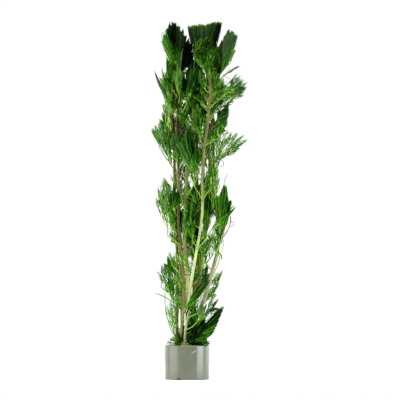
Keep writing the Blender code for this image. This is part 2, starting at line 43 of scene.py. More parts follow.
mm = 0.001  # sizes are in millimetres until they meet a mesh; x right, -y front, z up from the ring's foot


def linearColour(code):
    # an sRGB hex code as the linear colour that shaders want
    parts = [int(code[i:i + 2], 16) / 255 for i in (1, 3, 5)]
    return [p / 12.92 if p <= 0.04045 else ((p + 0.055) / 1.055) ** 2.4 for p in parts] + [1.0]


def setInputs(tree, node, links):
    # gives each input its value or another node's output
    for name, value in links.items():
        if isinstance(value, bpy.types.NodeSocket):
            tree.links.new(value, node.inputs[name])
        else:
            node.inputs[name].default_value = value


def addNode(tree, kind, links=None, out=0, stops=None, **settings):
    # one node with its settings, its inputs and a ramp's (place, hex code) stops; returns one of its outputs
    node = tree.nodes.new("ShaderNode" + kind)
    for name, value in settings.items():
        setattr(node, name, value)
    setInputs(tree, node, links or {})
    if stops:
        ramp = node.color_ramp.elements
        while len(ramp) < len(stops):
            ramp.new(1.0)
        for element, (place, code) in zip(ramp, stops):
            element.position, element.color = place, linearColour(code)
    return node.outputs[out]


def layColours(tree, colour, layers):
    # colours laid over the first one in turn, each by its own share; inputs 6 and 7 of a Mix node are colours
    for share, code in layers:
        colour = addNode(tree, "Mix", {0: share, 6: colour, 7: linearColour(code)}, 2, data_type="RGBA")
    return colour


def startMaterial(name):
    material = bpy.data.materials.new(name)
    material.use_nodes = True
    return material, material.node_tree, material.node_tree.nodes["Principled BSDF"]


def addToScene(name, data):
    thing = bpy.data.objects.new(name, data)
    bpy.context.scene.collection.objects.link(thing)
    return thing


def selectOnly(piece):
    bpy.ops.object.select_all(action="DESELECT")
    piece.select_set(True)
    bpy.context.view_layer.objects.active = piece


def finishPiece(piece, material, node=None):
    # a piece rides on the one body, may get a material and may stand for a CAD node, which is then hidden
    if material:
        piece.data.materials.clear()
        piece.data.materials.append(material)
    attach(piece, "root")
    if node:
        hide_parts(node)


# the tones run from pale young green to nearly black; the dark end is partly painted shade in the dense bunch
leafSkin = {
    "tonesAndShade": [(0.0, "#cfdc96"), (0.14, "#a3c45c"), (0.32, "#68a628"), (0.5, "#438913"), (0.66, "#28600e"),
        (0.8, "#163a0b"), (0.92, "#071604"), (1.0, "#010200")],
    # the grey-green of a painted sheen, the yellow-green of painted light through the strand ends, a real
    # brown
    "bloom": "#6f9362", "rim": "#8cac30", "brown": "#6b3a20", "rimNarrow": 2.2, "patch": 5.0,
    "patchShare": 0.25, "roughness": 0.42, "shine": 0.05, "bump": 0.15, "bumpDepth": 0.2,
}
leafMarks = ("age", "bloom", "rim", "brown")  # the attributes that each strand carries for its material


def makeLeafMaterial():
    # wet leaf tissue: young green is light, old green nearly black with a soft wet shine; the nearly black is
    # partly painted shade inside the dense bunch
    material, tree, shader = startMaterial("wet cabomba leaf")
    place = addNode(tree, "TexCoord", out="Object")
    share = {mark: addNode(tree, "Attribute", out="Fac", attribute_name=mark) for mark in leafMarks}
    patches = addNode(tree, "TexNoise", {"Vector": place, "Scale": 1 / (leafSkin["patch"] * mm)})
    shift = addNode(tree, "Math", {0: patches, 1: 0.5}, operation="SUBTRACT")
    uneven = addNode(tree, "Math", {0: shift, 1: leafSkin["patchShare"]}, operation="MULTIPLY")
    tonedAndShaded = addNode(tree, "Math", {0: share["age"], 1: uneven}, operation="ADD", use_clamp=True)
    green = addNode(tree, "ValToRGB", {"Fac": tonedAndShaded}, stops=leafSkin["tonesAndShade"])
    # the rim is painted light shining through the thin strand ends; the power keeps it to the very ends
    share["rim"] = addNode(tree, "Math", {0: share["rim"], 1: leafSkin["rimNarrow"]}, operation="POWER")
    # over the green go a painted grey-green sheen, the rim's painted light and the stalks' real brown
    green = layColours(tree, green, [(share[mark], leafSkin[mark]) for mark in leafMarks[1:]])
    bump = addNode(tree, "Bump", {"Height": patches, "Strength": leafSkin["bump"],
                                  "Distance": leafSkin["bumpDepth"] * mm})
    setInputs(tree, shader, {"Base Color": green, "Normal": bump, "Roughness": leafSkin["roughness"],
                             "Specular IOR Level": leafSkin["shine"]})
    return material


leafMaterial = makeLeafMaterial()

# each stem: radii at its foot and top, the heights of its leaf nodes, its route, and the colour of its skin
# from the foot upwards
stems = {
    "stem_front": {
        "foot": 0.82, "top": 0.86, "nodes": [30.2, 81, 110.8, 143.7, 167.2, 183.3], "route": [(-1.9, -6, 2),
        (-1.9, -6, 19), (-0.9, -7.2, 30.2), (1.2, -8.4, 49.4), (2.8, -9, 61.8), (4.7, -9.4, 73),
        (6.2, -9.8, 81), (7.8, -10.2, 89.7), (9.4, -10.8, 102), (9.7, -11, 110.8), (9.3, -11, 123.8),
        (9.9, -11, 133.1), (10.5, -11, 143.7), (12.3, -10.8, 154.8), (13.6, -10.4, 167.2),
        (14.8, -10.2, 176.5), (14.3, -10, 183.3), (13.2, -9.6, 191)], "slot": "stem_olive",
        "flush": "#7c8a3c", "skin": [(0, "#a9b892"), (30, "#aebb8e"), (55, "#c0cd92"), (75, "#c8d69a"),
        (105, "#adc078"), (112, "#979f5e"), (135, "#8c8f4a"), (150, "#7b7838"), (190, "#62622a")]},
    "stem_centre": {
        "foot": 1.22, "top": 0.95, "nodes": [64.9, 112, 153.6], "route": [(1.6, -1.4, 2), (1.6, -1.4, 19),
        (0.4, -2, 46.3), (0.6, -2.4, 58.7), (0.3, -2.4, 64.9), (-1.2, -2.6, 80.4), (-2, -3.2, 95.9),
        (-0.9, -4.2, 112), (0.6, -4.8, 136.2), (3.2, -4.5, 153.6), (3.7, -4, 164.1), (4, -4, 176.5)],
        "slot": "stem_olive", "flush": "#666c2e", "skin": [(0, "#b4b884"), (45, "#b8bf84"), (60, "#cdd096"),
        (66, "#c2c78a"), (68, "#a4b26c"), (80, "#9ba75e"), (110, "#8a9248"), (136, "#767c38"),
        (153, "#5c6a2a"), (190, "#46541e")]},
    "stem_left": {
        "foot": 1.0, "top": 0.8, "nodes": [26, 84, 130, 163], "route": [(-6.3, 1, 2), (-6.3, 1, 19),
        (-6.2, 0.4, 49.4), (-5.9, -0.2, 68), (-6.4, -0.5, 86.6), (-7.2, -0.5, 105), (-7.8, -0.5, 120.7),
        (-7.8, -0.5, 136.2), (-8.4, -0.5, 151.7), (-9.3, -0.5, 168), (-8.5, -0.8, 177), (-7.1, -1.5, 185.5)],
        "slot": "stem_brown", "flush": "#4f2c10", "skin": [(0, "#5c5a26"), (40, "#6c6630"), (80, "#5e5a28"),
        (118, "#74843c"), (131, "#6a6428"), (134, "#6b4018"), (160, "#5f3c14"), (190, "#40260a")]},
    "stem_inner_left": {
        "foot": 1.0, "top": 0.8, "nodes": [36.1, 60, 81, 128, 161], "route": [(-4.8, -3.3, 2),
        (-4.8, -3.3, 19), (-2.8, -4, 36.1), (-1.9, -4.6, 47), (-1.9, -5, 58.7), (-3.1, -5, 76.7),
        (-3.4, -5, 84), (-5.3, -5, 95.3), (-5.4, -5, 107.1), (-4.8, -5, 114), (-5.6, -5, 128.1),
        (-5.6, -5, 142.4), (-5.8, -5, 161), (-5.4, -5, 172), (-4.8, -6, 183)], "slot": "stem_brown",
        "flush": "#5a4622", "skin": [(0, "#7c7440"), (34, "#8c8450"), (60, "#8a8048"), (82, "#5e5220"),
        (90, "#5c5420"), (112, "#746c3a"), (126, "#7c7040"), (140, "#40300e"), (185, "#1c1200")]},
    "stem_middle": {
        "foot": 1.85, "top": 1.0, "nodes": [64, 84, 133], "route": [(4.6, 3.3, 2), (4.6, 3.3, 19),
        (3.6, 2.2, 38), (4.6, 1, 51.3), (6.8, 0.6, 60), (7.7, 0.4, 68), (7.9, 0.6, 86.6), (6.4, 1.4, 111.4),
        (5.6, 2, 133), (6.2, 2.6, 154.8), (7.2, 2.6, 173.4), (7.6, 2.6, 187)], "slot": "stem_olive",
        "flush": "#85824a", "skin": [(0, "#6a6420"), (45, "#6b6414"), (65, "#6e6612"), (90, "#665f14"),
        (130, "#555420"), (190, "#42501e")]},
    "stem_right": {
        "foot": 1.3, "top": 0.85, "nodes": [45, 79.5, 99, 133, 157, 176], "route": [(6.8, -2.7, 2),
        (6.8, -2.7, 19), (7.6, -3.2, 36), (9.2, -3.6, 46.5), (12.4, -3.6, 54.4), (15.2, -3.2, 65.5),
        (18.3, -2.6, 76.7), (19.9, -2.2, 86.6), (19, -1.6, 99), (17.2, -0.8, 114.5), (14.6, 0, 130),
        (13.4, 0.4, 144.3), (15.2, 0.6, 157), (16.4, 0.6, 167.2), (16.9, 0.4, 176.5), (19.2, 0, 184.5)],
        "slot": "stem_brown", "flush": "#8a5a48", "skin": [(0, "#a39a78"), (45, "#a8a080"), (62, "#a29c78"),
        (76, "#8e8660"), (86, "#6e623a"), (130, "#6a4c2a"), (155, "#75503a"), (185, "#5f4420")]},
    "stem_back_left": {
        "foot": 1.1, "top": 0.8, "nodes": [52, 92, 140], "route": [(-2.6, 5.4, 2), (-2.6, 5.4, 19),
        (-3.4, 6.4, 45), (-4.6, 7.6, 80), (-5.6, 8.2, 115), (-5, 8.4, 150), (-4.2, 8, 183)],
        "slot": "stem_olive", "flush": "#6a5a2c", "skin": [(0, "#a8ac72"), (60, "#8c9450"), (120, "#78783a"),
        (185, "#5a5a2a")]},
    "stem_back_right": {
        "foot": 1.1, "top": 0.8, "nodes": [46, 88, 134], "route": [(1.8, 7.4, 2), (1.8, 7.4, 19),
        (3.4, 8, 45), (6.6, 8.8, 80), (9.6, 9.4, 115), (10.8, 9.6, 150), (12, 9, 182)], "slot": "stem_olive",
        "flush": "#6a5a2c", "skin": [(0, "#a8ac72"), (60, "#8c9450"), (120, "#7c743a"), (185, "#5f5a2a")]},
}

stemSkin = {
    "streak": 0.45, "streakLength": 14.0, "streakFrom": 0.45, "streakTo": 0.7, "streakShare": 0.35,
    "band": "#5a3a22", "roughness": 0.4, "shine": 0.2, "bump": 0.4, "bumpDepth": 0.15, "tall": 200,
}


def makeStemMaterial(name, colours, flush):
    # waxy water plant skin: fine lengthwise streaks, brown rings at the leaf nodes, a soft shine
    material, tree, shader = startMaterial(name.replace("_", " ") + " waxy skin")
    place = addNode(tree, "TexCoord", out="Object")
    height = addNode(tree, "SeparateXYZ", {0: place}, "Z")
    along = addNode(tree, "MapRange", {"Value": height, "From Max": stemSkin["tall"] * mm})
    stops = [(z / stemSkin["tall"], code) for z, code in colours]
    skin = addNode(tree, "ValToRGB", {"Fac": along}, stops=stops)
    squeeze = [1 / (stemSkin["streak"] * mm)] * 2 + [1 / (stemSkin["streakLength"] * mm)]
    stretched = addNode(tree, "Mapping", {"Vector": place, "Scale": squeeze})
    streaks = addNode(tree, "TexNoise", {"Vector": stretched, "Scale": 1.0, "Detail": 3.0})
    dark = addNode(tree, "MapRange", {"Value": streaks, "From Min": stemSkin["streakFrom"],
                                      "From Max": stemSkin["streakTo"], "To Max": stemSkin["streakShare"]})
    band = addNode(tree, "Attribute", out="Fac", attribute_name="band")
    skin = layColours(tree, skin, [(dark, flush), (band, stemSkin["band"])])
    bump = addNode(tree, "Bump", {"Height": streaks, "Strength": stemSkin["bump"],
                                  "Distance": stemSkin["bumpDepth"] * mm})
    setInputs(tree, shader, {"Base Color": skin, "Normal": bump, "Roughness": stemSkin["roughness"],
                             "Specular IOR Level": stemSkin["shine"]})
    return material


def smoothRoute(points, step):
    # points about one step apart on a smooth curve through the given ones
    points = [Vector(p) for p in points]
    route = []
    for i in range(len(points) - 1):
        before = points[max(i - 1, 0)]
        after = points[min(i + 2, len(points) - 1)]
        start, end = points[i], points[i + 1]
        pieces = max(1, round((end - start).length / step))
        route += geometry.interpolate_bezier(start, start + (end - before) / 6, end - (after - start) / 6,
                                             end, pieces + 1)[:-1]
    route.append(points[-1])
    return route


def pointAtHeight(route, height):
    for low, high in zip(route, route[1:]):
        if low.z <= height <= high.z:
            return low.lerp(high, (height - low.z) / (high.z - low.z))
    return route[-1].copy()


stemShape = {
    "step": 12.0, "rows": 2.0, "ringRows": 4, "roundness": 4, "swell": 0.22, "sharp": 1.6, "halfLength": 1.3,
    "waist": 0.06, "waistAt": 2.2, "bandHalf": 0.4, "bandShare": 0.7,
}
stemRoutes = {name: smoothRoute(stem["route"], stemShape["step"]) for name, stem in stems.items()}


def makeStem(name):
    # a bevelled curve with a raised ring at each leaf node, turned into a mesh
    stem, route = stems[name], stemRoutes[name]
    foot, top = stem["route"][0][2], stem["route"][-1][2]
    heights = [p.z for p in smoothRoute(route, stemShape["rows"])]
    rows = stemShape["ringRows"]
    for node in stem["nodes"]:
        heights += [node + stemShape["halfLength"] * k / rows for k in range(-rows, rows + 1)]
    heights = sorted(set(round(h, 2) for h in heights))
    curve = bpy.data.curves.new(name + "_skin", "CURVE")
    curve.dimensions = "3D"
    curve.bevel_depth = mm
    curve.bevel_resolution = stemShape["roundness"]
    curve.use_fill_caps = True
    spline = curve.splines.new("POLY")
    spline.points.add(len(heights) - 1)
    for knot, height in zip(spline.points, heights):
        knot.co = (*(pointAtHeight(route, height) * mm), 1.0)
        off = min(abs(height - node) for node in stem["nodes"]) / stemShape["halfLength"]
        swell = stemShape["swell"] * math.exp(-(off * stemShape["sharp"]) ** 2)
        swell -= stemShape["waist"] * math.exp(-(off - stemShape["waistAt"]) ** 2)
        radius = stem["foot"] + (stem["top"] - stem["foot"]) * (height - foot) / (top - foot)
        knot.radius = radius * (1 + swell)
    selectOnly(addToScene(name + "_skin", curve))
    bpy.ops.object.convert(target="MESH")
    piece = bpy.context.object
    band = piece.data.attributes.new("band", "FLOAT", "POINT")
    for vertex, value in zip(piece.data.vertices, band.data):
        off = min(abs(vertex.co.z / mm - node) for node in stem["nodes"]) / stemShape["bandHalf"]
        value.value = stemShape["bandShare"] * max(0.0, 1.0 - 0.5 * off**2)
    bpy.ops.object.shade_smooth()
    finishPiece(piece, makeStemMaterial(name, stem["skin"], stem["flush"]), name)


for stemName in stems:
    makeStem(stemName)
print("stems done")

# each leaf: where it leaves the stem that it is named for, its stalk (the last point is the blade's base) and
# the blade's tips from left to right; lock is the half width of a lock of strands, fork how far up they part,
# the tone at the base and at the tips (0 palest, 1 nearly black; the dark end is partly the leaf's own
# green and partly painted shade), a painted grey-green sheen, a rim of painted light through the thin strand
# ends, fill the strands per millimetre of width and layers how many fans lie over each other
leaves = {
    "tuft_left": {
        "at": 185.5, "lock": 1.7, "fork": 0.86, "kind": "tuft", "stalk": [(-6.9, -2.2, 191)],
        "tips": [(-15.4, -9, 211.6), (-14.2, -8.6, 215.6), (-12.3, -7, 220.2), (-10, -6, 222.2),
        (-8, -5, 222.2), (-6.2, -4, 221.6), (-4.3, -3, 219.6), (-2.5, -2.2, 218), (-0.9, -2, 214.6)],
        "tonesAndShade": [0.46, 0.54, 0.96, 1.05, 1.05, 0.93, 0.92, 0.92, 0.93],
        "bloom": [0.2, 0.15, 0, 0, 0, 0.08, 0.16, 0.12, 0.05], "rim": 0.4, "teeth": 0.08, "ragged": 0.06},
    # this tuft lies in shadow between the tufts beside it, and its near-black tips are painted shade
    "tuft_inner_left": {
        "at": 183, "lock": 1.2, "fork": 0.84, "kind": "tuft", "stalk": [(-4.3, -8, 188.5)],
        "tips": [(-3.4, -12.4, 203), (-1.4, -12.6, 209.2), (1.2, -12.6, 211.9), (3.4, -12.4, 207.6),
        (4, -12.2, 201)], "tonesAndShade": [0.84, 1.1, 1.2, 1.2, 1.2], "bloom": [0.22, 0, 0, 0, 0], "rim": 0.0,
        "blunt": 0.6, "toneAndShadeFrom": 0.0, "toneAndShadeTo": 0.34},
    "tuft_middle": {
        "at": 187, "lock": 1.7, "fork": 0.9, "kind": "tuft", "stalk": [(7, 3, 191.5)],
        "tips": [(1.7, 4, 220), (3.8, 3.6, 220.4), (5.9, 3.2, 220.8), (8.2, 3, 221), (10.6, 3.4, 220)],
        "tonesAndShade": [0.9, 0.9, 0.89, 0.89, 0.9], "bloom": [0.06, 0.1, 0.16, 0.12, 0.08], "ragged": 0.025,
        "teeth": 0.03},
    "tuft_front": {
        "at": 191, "lock": 2.3, "fork": 0.92, "kind": "tuft", "stalk": [(13, -8.4, 194.5)],
        "tips": [(9.2, -2, 220.4), (11.8, -3, 220.6), (14.2, -4, 221.2), (16.4, -5, 222), (18.4, -6, 222.2),
        (20, -6.6, 221.8)], "tonesAndShade": [0.89, 0.88, 0.87, 0.89, 0.9, 0.98],
        "bloom": [0.18, 0.2, 0.15, 0.1, 0.05, 0], "ragged": 0.025, "teeth": 0.03},
    "leaf_front_1_left": {
        "at": 184, "kind": "net", "stalk": [(10, -13, 193), (5.6, -14, 197.4), (4.2, -14.4, 200.2)],
        "tips": [(9.4, -14.6, 212), (12.6, -14.4, 213.8), (15.6, -14, 214.2), (17, -14.2, 209.4)],
        "tonesAndShade": [0.7, 0.82, 0.88, 0.9], "baseToneAndShade": 0.48, "fill": 8, "layers": 2, "brown": 0.06, "kink": 0.14,
        "tipKink": 0.12, "wander": 0.3, "forked": 0.45, "strand": 0.22, "streak": 0.18},
    "tuft_right": {
        "at": 184.5, "lock": 1.5, "fork": 0.84, "kind": "tuft", "stalk": [(20.4, -0.4, 189)],
        "tips": [(18.2, -5, 204.4), (20.5, -4.6, 208.8), (23.2, -4, 214), (26.3, -3, 218.2), (28.8, -2, 216),
        (31.8, -1, 214), (30, 0, 206)], "tonesAndShade": [0.72, 0.93, 0.95, 0.84, 0.84, 0.78, 0.54],
        "bloom": [0.05, 0.05, 0.4, 0.25, 0.4, 0.1, 0.1], "rim": 0.5, "teeth": 0.12, "ragged": 0.08,
        "streak": 0.14, "brown": 0.05},
    "leaf_left_2_left": {
        "at": 163, "lock": 1.3, "fork": 0.66, "stalk": [(-11.4, -2.2, 170)], "tips": [(-17.2, -3.6, 187.6),
        (-15.8, -3.8, 193.9), (-13.9, -3.6, 187.4)], "tonesAndShade": [0.38, 0.42, 0.45], "bloom": [0.3],
        "baseToneAndShade": 0.24},
    "leaf_left_2_right": {
        "at": 164.5, "fork": 0.66, "stalk": [(-10.4, 2.6, 172)], "tips": [(-12.9, 4, 194.4),
        (-10.6, 4.2, 189), (-8.2, 4, 186)], "tonesAndShade": [0.42], "bloom": [0.3]},
    "leaf_inner_left_2_left": {
        "at": 161, "lock": 0.9, "kind": "solid", "stalk": [(-9.4, -7.6, 166)], "tips": [(-20.2, -9.4, 191.4),
        (-15.2, -9.2, 182)], "tonesAndShade": [0.8, 0.75], "bloom": [0.2]},
    "leaf_inner_left_2_right": {
        "at": 161.5, "lock": 1.5, "fork": 0.78, "kind": "solid", "stalk": [(-1.6, -8.2, 168),
        (0.2, -8.6, 172.2)], "tips": [(0.6, -8.8, 192.6), (2.8, -8.6, 196.2), (5.6, -8.2, 197.4),
        (8.4, -7.8, 195.4), (10.4, -7.2, 190.4)], "tonesAndShade": [0.86, 0.82, 0.8, 0.84, 0.86], "baseToneAndShade": 0.5,
        "toneAndShadeTo": 0.5},
    "leaf_centre_2_right": {
        "at": 153.6, "lock": 1.3, "fork": 0.74, "kind": "net", "stalk": [(6.4, -6, 156.6)],
        "tips": [(3.4, -7, 168.6), (5.2, -7.2, 172.4), (7, -7.2, 173), (8.4, -7, 168.6)], "tonesAndShade": [0.5]},
    "leaf_front_2_left": {
        "at": 167.2, "lock": 1.3, "stalk": [(10.8, -8.2, 170.4), (8.6, -7, 174.6)],
        "tips": [(9.2, -5.8, 184.6), (11.4, -5.8, 187.2), (12.8, -5.8, 183.6)], "tonesAndShade": [0.6]},
    "leaf_front_2_right": {
        "at": 167.6, "fork": 0.76, "kind": "net", "stalk": [(16.4, -12.2, 170.4), (20, -12.6, 173.4)],
        "tips": [(31.7, -13.2, 189.9), (33.3, -13, 188.4), (35.2, -12.8, 186.4), (37.5, -12.6, 184.2),
        (38, -12.4, 181.5), (35.4, -12.2, 176.4)], "tonesAndShade": [0.78, 0.7, 0.62, 0.6, 0.66, 0.5],
        "bloom": [0.15], "baseToneAndShade": 0.36, "fill": 4.4, "kink": 0.5, "tipKink": 0.15, "forked": 0.66,
        "strand": 0.3, "toneAndShadeFrom": 0.3, "toneAndShadeTo": 0.95, "blunt": 0.3},
    "leaf_right_1_right": {
        "at": 183, "lock": 0.5, "fork": 0.8, "stalk": [(22.6, 1.8, 188.4)], "tips": [(32, 3.4, 194.8),
        (33.8, 3.4, 195.4)], "tonesAndShade": [0.55], "bloom": [0.4], "fill": 6},
    "leaf_right_2_right": {
        "at": 172.5, "lock": 1.1, "fork": 0.74, "stalk": [(19.2, -3.4, 176)], "tips": [(17.8, -5, 186),
        (20.2, -5.2, 188.4), (22.8, -5.2, 186.8), (24.6, -5, 182.6)], "tonesAndShade": [0.36], "baseToneAndShade": 0.28},
    "leaf_right_3_right": {
        "at": 156, "fork": 0.78, "kind": "solid", "stalk": [(18.6, -3.6, 158.6)],
        "tips": [(20.6, -6.6, 167.2), (23.6, -6.8, 169.8), (26.2, -6.8, 172.6), (26.4, -6.6, 165.6),
        (25, -6.4, 157.6)], "tonesAndShade": [0.72, 0.76, 0.78, 0.74, 0.66], "blunt": 0.8},
    "leaf_front_3_right": {
        "at": 144.5, "fork": 0.68, "kind": "net", "stalk": [(16, -13.4, 148), (19.6, -13.8, 149.4)],
        "tips": [(20.4, -14.2, 160), (23.4, -14.2, 157.8), (25.6, -14, 154.4)], "tonesAndShade": [0.5]},
    "leaf_right_4_right": {
        "at": 132, "lock": 1.5, "fork": 0.74, "kind": "net", "stalk": [(17, -4.4, 134.4)],
        "tips": [(20.6, -9.4, 150), (24, -9.6, 152), (27.3, -9.6, 153.8), (31.6, -9.4, 153.4),
        (35.8, -9.2, 151.8), (37.7, -9, 149.2), (33, -8.8, 143.6)],
        "tonesAndShade": [0.38, 0.38, 0.4, 0.42, 0.48, 0.62, 0.45], "fill": 3, "tipKink": 0.45, "strand": 0.28},
    "leaf_front_3_left": {
        "at": 144, "lock": 1.5, "stalk": [(8.2, -13.2, 148.4)], "tips": [(4.2, -13.8, 163.4),
        (6.8, -14, 166.2), (9.6, -13.8, 163.2)], "tonesAndShade": [0.7, 0.72, 0.66]},
    "leaf_left_3_left": {
        "at": 130, "lock": 1.5, "fork": 0.82, "kind": "solid", "stalk": [(-9.6, -4.2, 132.6)],
        "tips": [(-22.3, -9.4, 156.9), (-20.1, -9.2, 158), (-17.6, -9, 159.2), (-15.6, -8.8, 159.2),
        (-12, -8.6, 151.6)], "tonesAndShade": [0.55, 0.52, 0.52, 0.66, 0.64], "bloom": [0.34, 0.48, 0.4, 0.12, 0.05],
        "blunt": 0.2, "fill": 8, "forked": 0.74, "layers": 1, "kink": 0.3},
    "leaf_inner_left_3_left": {
        "at": 129, "lock": 1.3, "fork": 0.74, "stalk": [(-6, -8, 134)], "tips": [(-11.2, -11, 149.8),
        (-9.2, -11, 153.6), (-6.6, -11, 155.4), (-4, -10.6, 152.4)], "tonesAndShade": [0.68], "bloom": [0.2]},
    "leaf_centre_3_right": {
        "at": 112, "lock": 1.7, "fork": 0.84, "kind": "solid", "stalk": [(1.6, -12, 116.4),
        (6.2, -13.6, 124.6)], "tips": [(-6.4, -13, 147.6), (-3.2, -13.2, 150.4), (0.8, -13.4, 156.4),
        (3.2, -13.6, 154.6), (5.6, -13.8, 147.2)], "tonesAndShade": [0.6, 0.74, 0.88, 0.86, 0.76],
        "bloom": [0.25, 0.06, 0, 0, 0], "baseToneAndShade": 0.22, "blunt": 0.7, "streak": 0.15},
    "leaf_front_4_left": {
        "at": 110.8, "lock": 1.5, "fork": 0.66, "kind": "net", "stalk": [(6.4, -14.4, 117),
        (4.7, -15.4, 119.4)], "tips": [(1.8, -16.4, 131.6), (4.6, -16.6, 134.6), (7.4, -16.4, 132.6)],
        "tonesAndShade": [0.5]},
    "leaf_front_4_right": {
        "at": 111.6, "fork": 0.66, "kind": "net", "stalk": [(12.4, -13, 115.6), (15, -13.6, 119)],
        "tips": [(13.8, -13.8, 134), (16.4, -13.8, 137), (18.8, -13.8, 133.6)], "tonesAndShade": [0.52]},
    "leaf_inner_left_4_left": {
        "at": 101, "lock": 1.6, "fork": 0.72, "kind": "solid", "stalk": [(-7.6, -7.6, 103.6)],
        "tips": [(-10.2, -8.2, 115.8), (-8.3, -8.4, 121.8), (-5.2, -8.2, 117.4)], "tonesAndShade": [0.82]},
    "leaf_inner_left_5_left": {
        "at": 83, "lock": 1.3, "fork": 0.66, "kind": "net", "stalk": [(-7.6, -9, 86.2), (-11.8, -10.4, 89.4),
        (-11.8, -10.8, 93.4)], "tips": [(-19.6, -11.4, 113), (-18.2, -11.4, 119.8), (-16.8, -11.4, 121.2),
        (-14.5, -11.2, 123), (-12.2, -11, 121.8)], "tonesAndShade": [0.4, 0.4, 0.42, 0.42, 0.4], "bloom": [0.4],
        "fill": 2.9, "tipKink": 0.3},
    "leaf_left_4_left": {
        "at": 84, "kind": "net", "stalk": [(-7.6, -3.2, 86.6)], "tips": [(-11.6, -4.2, 107.4),
        (-9.2, -4.2, 110), (-7.2, -3.8, 106)], "tonesAndShade": [0.5]},
    "leaf_right_5_left": {
        "at": 99, "fork": 0.6, "kind": "net", "stalk": [(16.2, -6.2, 105.6)], "tips": [(13.4, -8.2, 128),
        (15.8, -8.4, 132.4), (18.4, -8.4, 132.8), (20.2, -8.2, 125.4)], "tonesAndShade": [0.38], "fill": 2.8,
        "strand": 0.3},
    "leaf_right_6_right": {
        "at": 79.5, "lock": 2.4, "fork": 0.84, "kind": "solid", "stalk": [(21, -7, 87.4)],
        "tips": [(20, -10.4, 114.6), (22.9, -10.6, 121.4), (24.5, -10.6, 120.2), (25.8, -10.4, 111.6)],
        "tonesAndShade": [0.64, 0.72, 0.78, 0.7], "baseToneAndShade": 0.3, "blunt": 1.0, "ragged": 0.05, "teeth": 0.0},
    "leaf_front_5_right": {
        "at": 81, "lock": 1.3, "fork": 0.6, "kind": "solid", "stalk": [(11, -13, 86.4), (14.4, -14, 91.8)],
        "tips": [(22.6, -14.4, 101.6), (30.7, -14.4, 107.7)], "tonesAndShade": [0.5, 0.62]},
    "leaf_middle_2_left": {
        "at": 84, "lock": 1.8, "fork": 0.74, "kind": "solid", "stalk": [(3.4, -1.4, 87)],
        "tips": [(0.4, -1.6, 109), (3.2, -1.6, 112), (6, -1.6, 109.4)], "tonesAndShade": [0.84]},
    "leaf_middle_2_right": {
        "at": 85.5, "lock": 2, "fork": 0.74, "kind": "solid", "stalk": [(12, -2.6, 89)],
        "tips": [(9.4, -4.4, 119.4), (12.4, -4.6, 123.4), (15, -4.6, 117.4)], "tonesAndShade": [0.8]},
    "leaf_middle_1_right": {
        "at": 64, "lock": 1.2, "fork": 0.76, "kind": "net", "stalk": [(9, -5.6, 68)],
        "tips": [(6.8, -6.4, 84), (9.2, -6.6, 88.4), (12.2, -6.8, 90.4), (15.2, -6.6, 87), (16.6, -6.2, 81)],
        "tonesAndShade": [0.52]},
    "leaf_front_6_left": {
        "at": 81.6, "fork": 0.66, "stalk": [(3.4, -12.6, 86.4)], "tips": [(-0.2, -13.6, 97.4),
        (2.2, -13.8, 101), (4.6, -13.6, 98)], "tonesAndShade": [0.62]},
    "leaf_inner_left_6_left": {
        "at": 43, "kind": "net", "stalk": [(-4.9, -8.4, 51), (-9.2, -10, 50.4)],
        "tips": [(-18.4, -10.8, 67.3), (-16, -10.8, 71.6), (-14.5, -10.8, 72.3), (-11.8, -10.6, 70.2)],
        "tonesAndShade": [0.6, 0.66, 0.66, 0.6], "fill": 2.6, "tipKink": 0.5},
    "leaf_inner_left_7_left": {
        "at": 60, "lock": 1.3, "fork": 0.66, "kind": "net", "stalk": [(-4.6, -7.4, 65.4)],
        "tips": [(-12, -8.4, 79.3), (-10.6, -8.4, 79.6), (-7.6, -8.2, 73.4)], "tonesAndShade": [0.56], "fill": 1.8},
    "leaf_left_5_left": {
        "at": 26, "lock": 1.5, "fork": 0.66, "kind": "net", "stalk": [(-8, -2.6, 29)],
        "tips": [(-12.6, -4, 47), (-10.6, -4.2, 50), (-8.2, -4, 49), (-5.8, -3.6, 46)], "tonesAndShade": [0.34],
        "fill": 1.7},
    "leaf_right_7_right": {
        "at": 45, "fork": 0.66, "kind": "net", "stalk": [(11.8, -8.2, 48.8)], "tips": [(22, -9.6, 68),
        (20.2, -9.8, 60), (18.4, -9.6, 52.4)], "tonesAndShade": [0.5]},
    "leaf_right_8_right": {
        "at": 34, "fork": 0.6, "stalk": [(11.6, -7, 40.6)], "tips": [(15.8, -7.8, 50.4), (19.6, -8, 50.4),
        (20.7, -8.2, 43.9)], "tonesAndShade": [0.72, 0.78, 0.82], "bloom": [0.3, 0.2, 0.1]},
    "leaf_front_7_right": {
        "at": 23.4, "lock": 1.3, "fork": 0.84, "kind": "solid", "stalk": [(2.2, -9.8, 24.8)],
        "tips": [(23.2, -12.4, 45.6), (20.6, -12.2, 38.6), (18.6, -12, 33.8), (16.8, -11.6, 29.8),
        (12, -11, 25)], "tonesAndShade": [0.86, 0.84, 0.76, 0.7, 0.62], "baseToneAndShade": 0.76, "blunt": 1.0, "toneAndShadeTo": 0.3,
        "teeth": 0.02, "ragged": 0.08},
    "leaf_inner_left_8_right": {
        "at": 37.5, "fork": 0.8, "kind": "solid", "stalk": [(-2.4, -11, 42)], "tips": [(11.2, -12.8, 61.4),
        (14.2, -12.8, 62.4)], "tonesAndShade": [0.8, 0.78], "baseToneAndShade": 0.4, "blunt": 0.6},
    "leaf_front_8_right": {
        "at": 30.8, "fork": 0.62, "stalk": [(3.4, -14.2, 33.2), (7, -15.4, 37)], "tips": [(9.2, -16, 48),
        (12.2, -16, 47.4), (14.4, -15.8, 42.6)], "tonesAndShade": [0.7, 0.72, 0.7], "bloom": [0.5], "baseToneAndShade": 0.2},
    "tuft_back_left": {
        "at": 183, "lock": 1.8, "fork": 0.84, "kind": "tuft", "stalk": [(-4.4, 9.2, 188.4)],
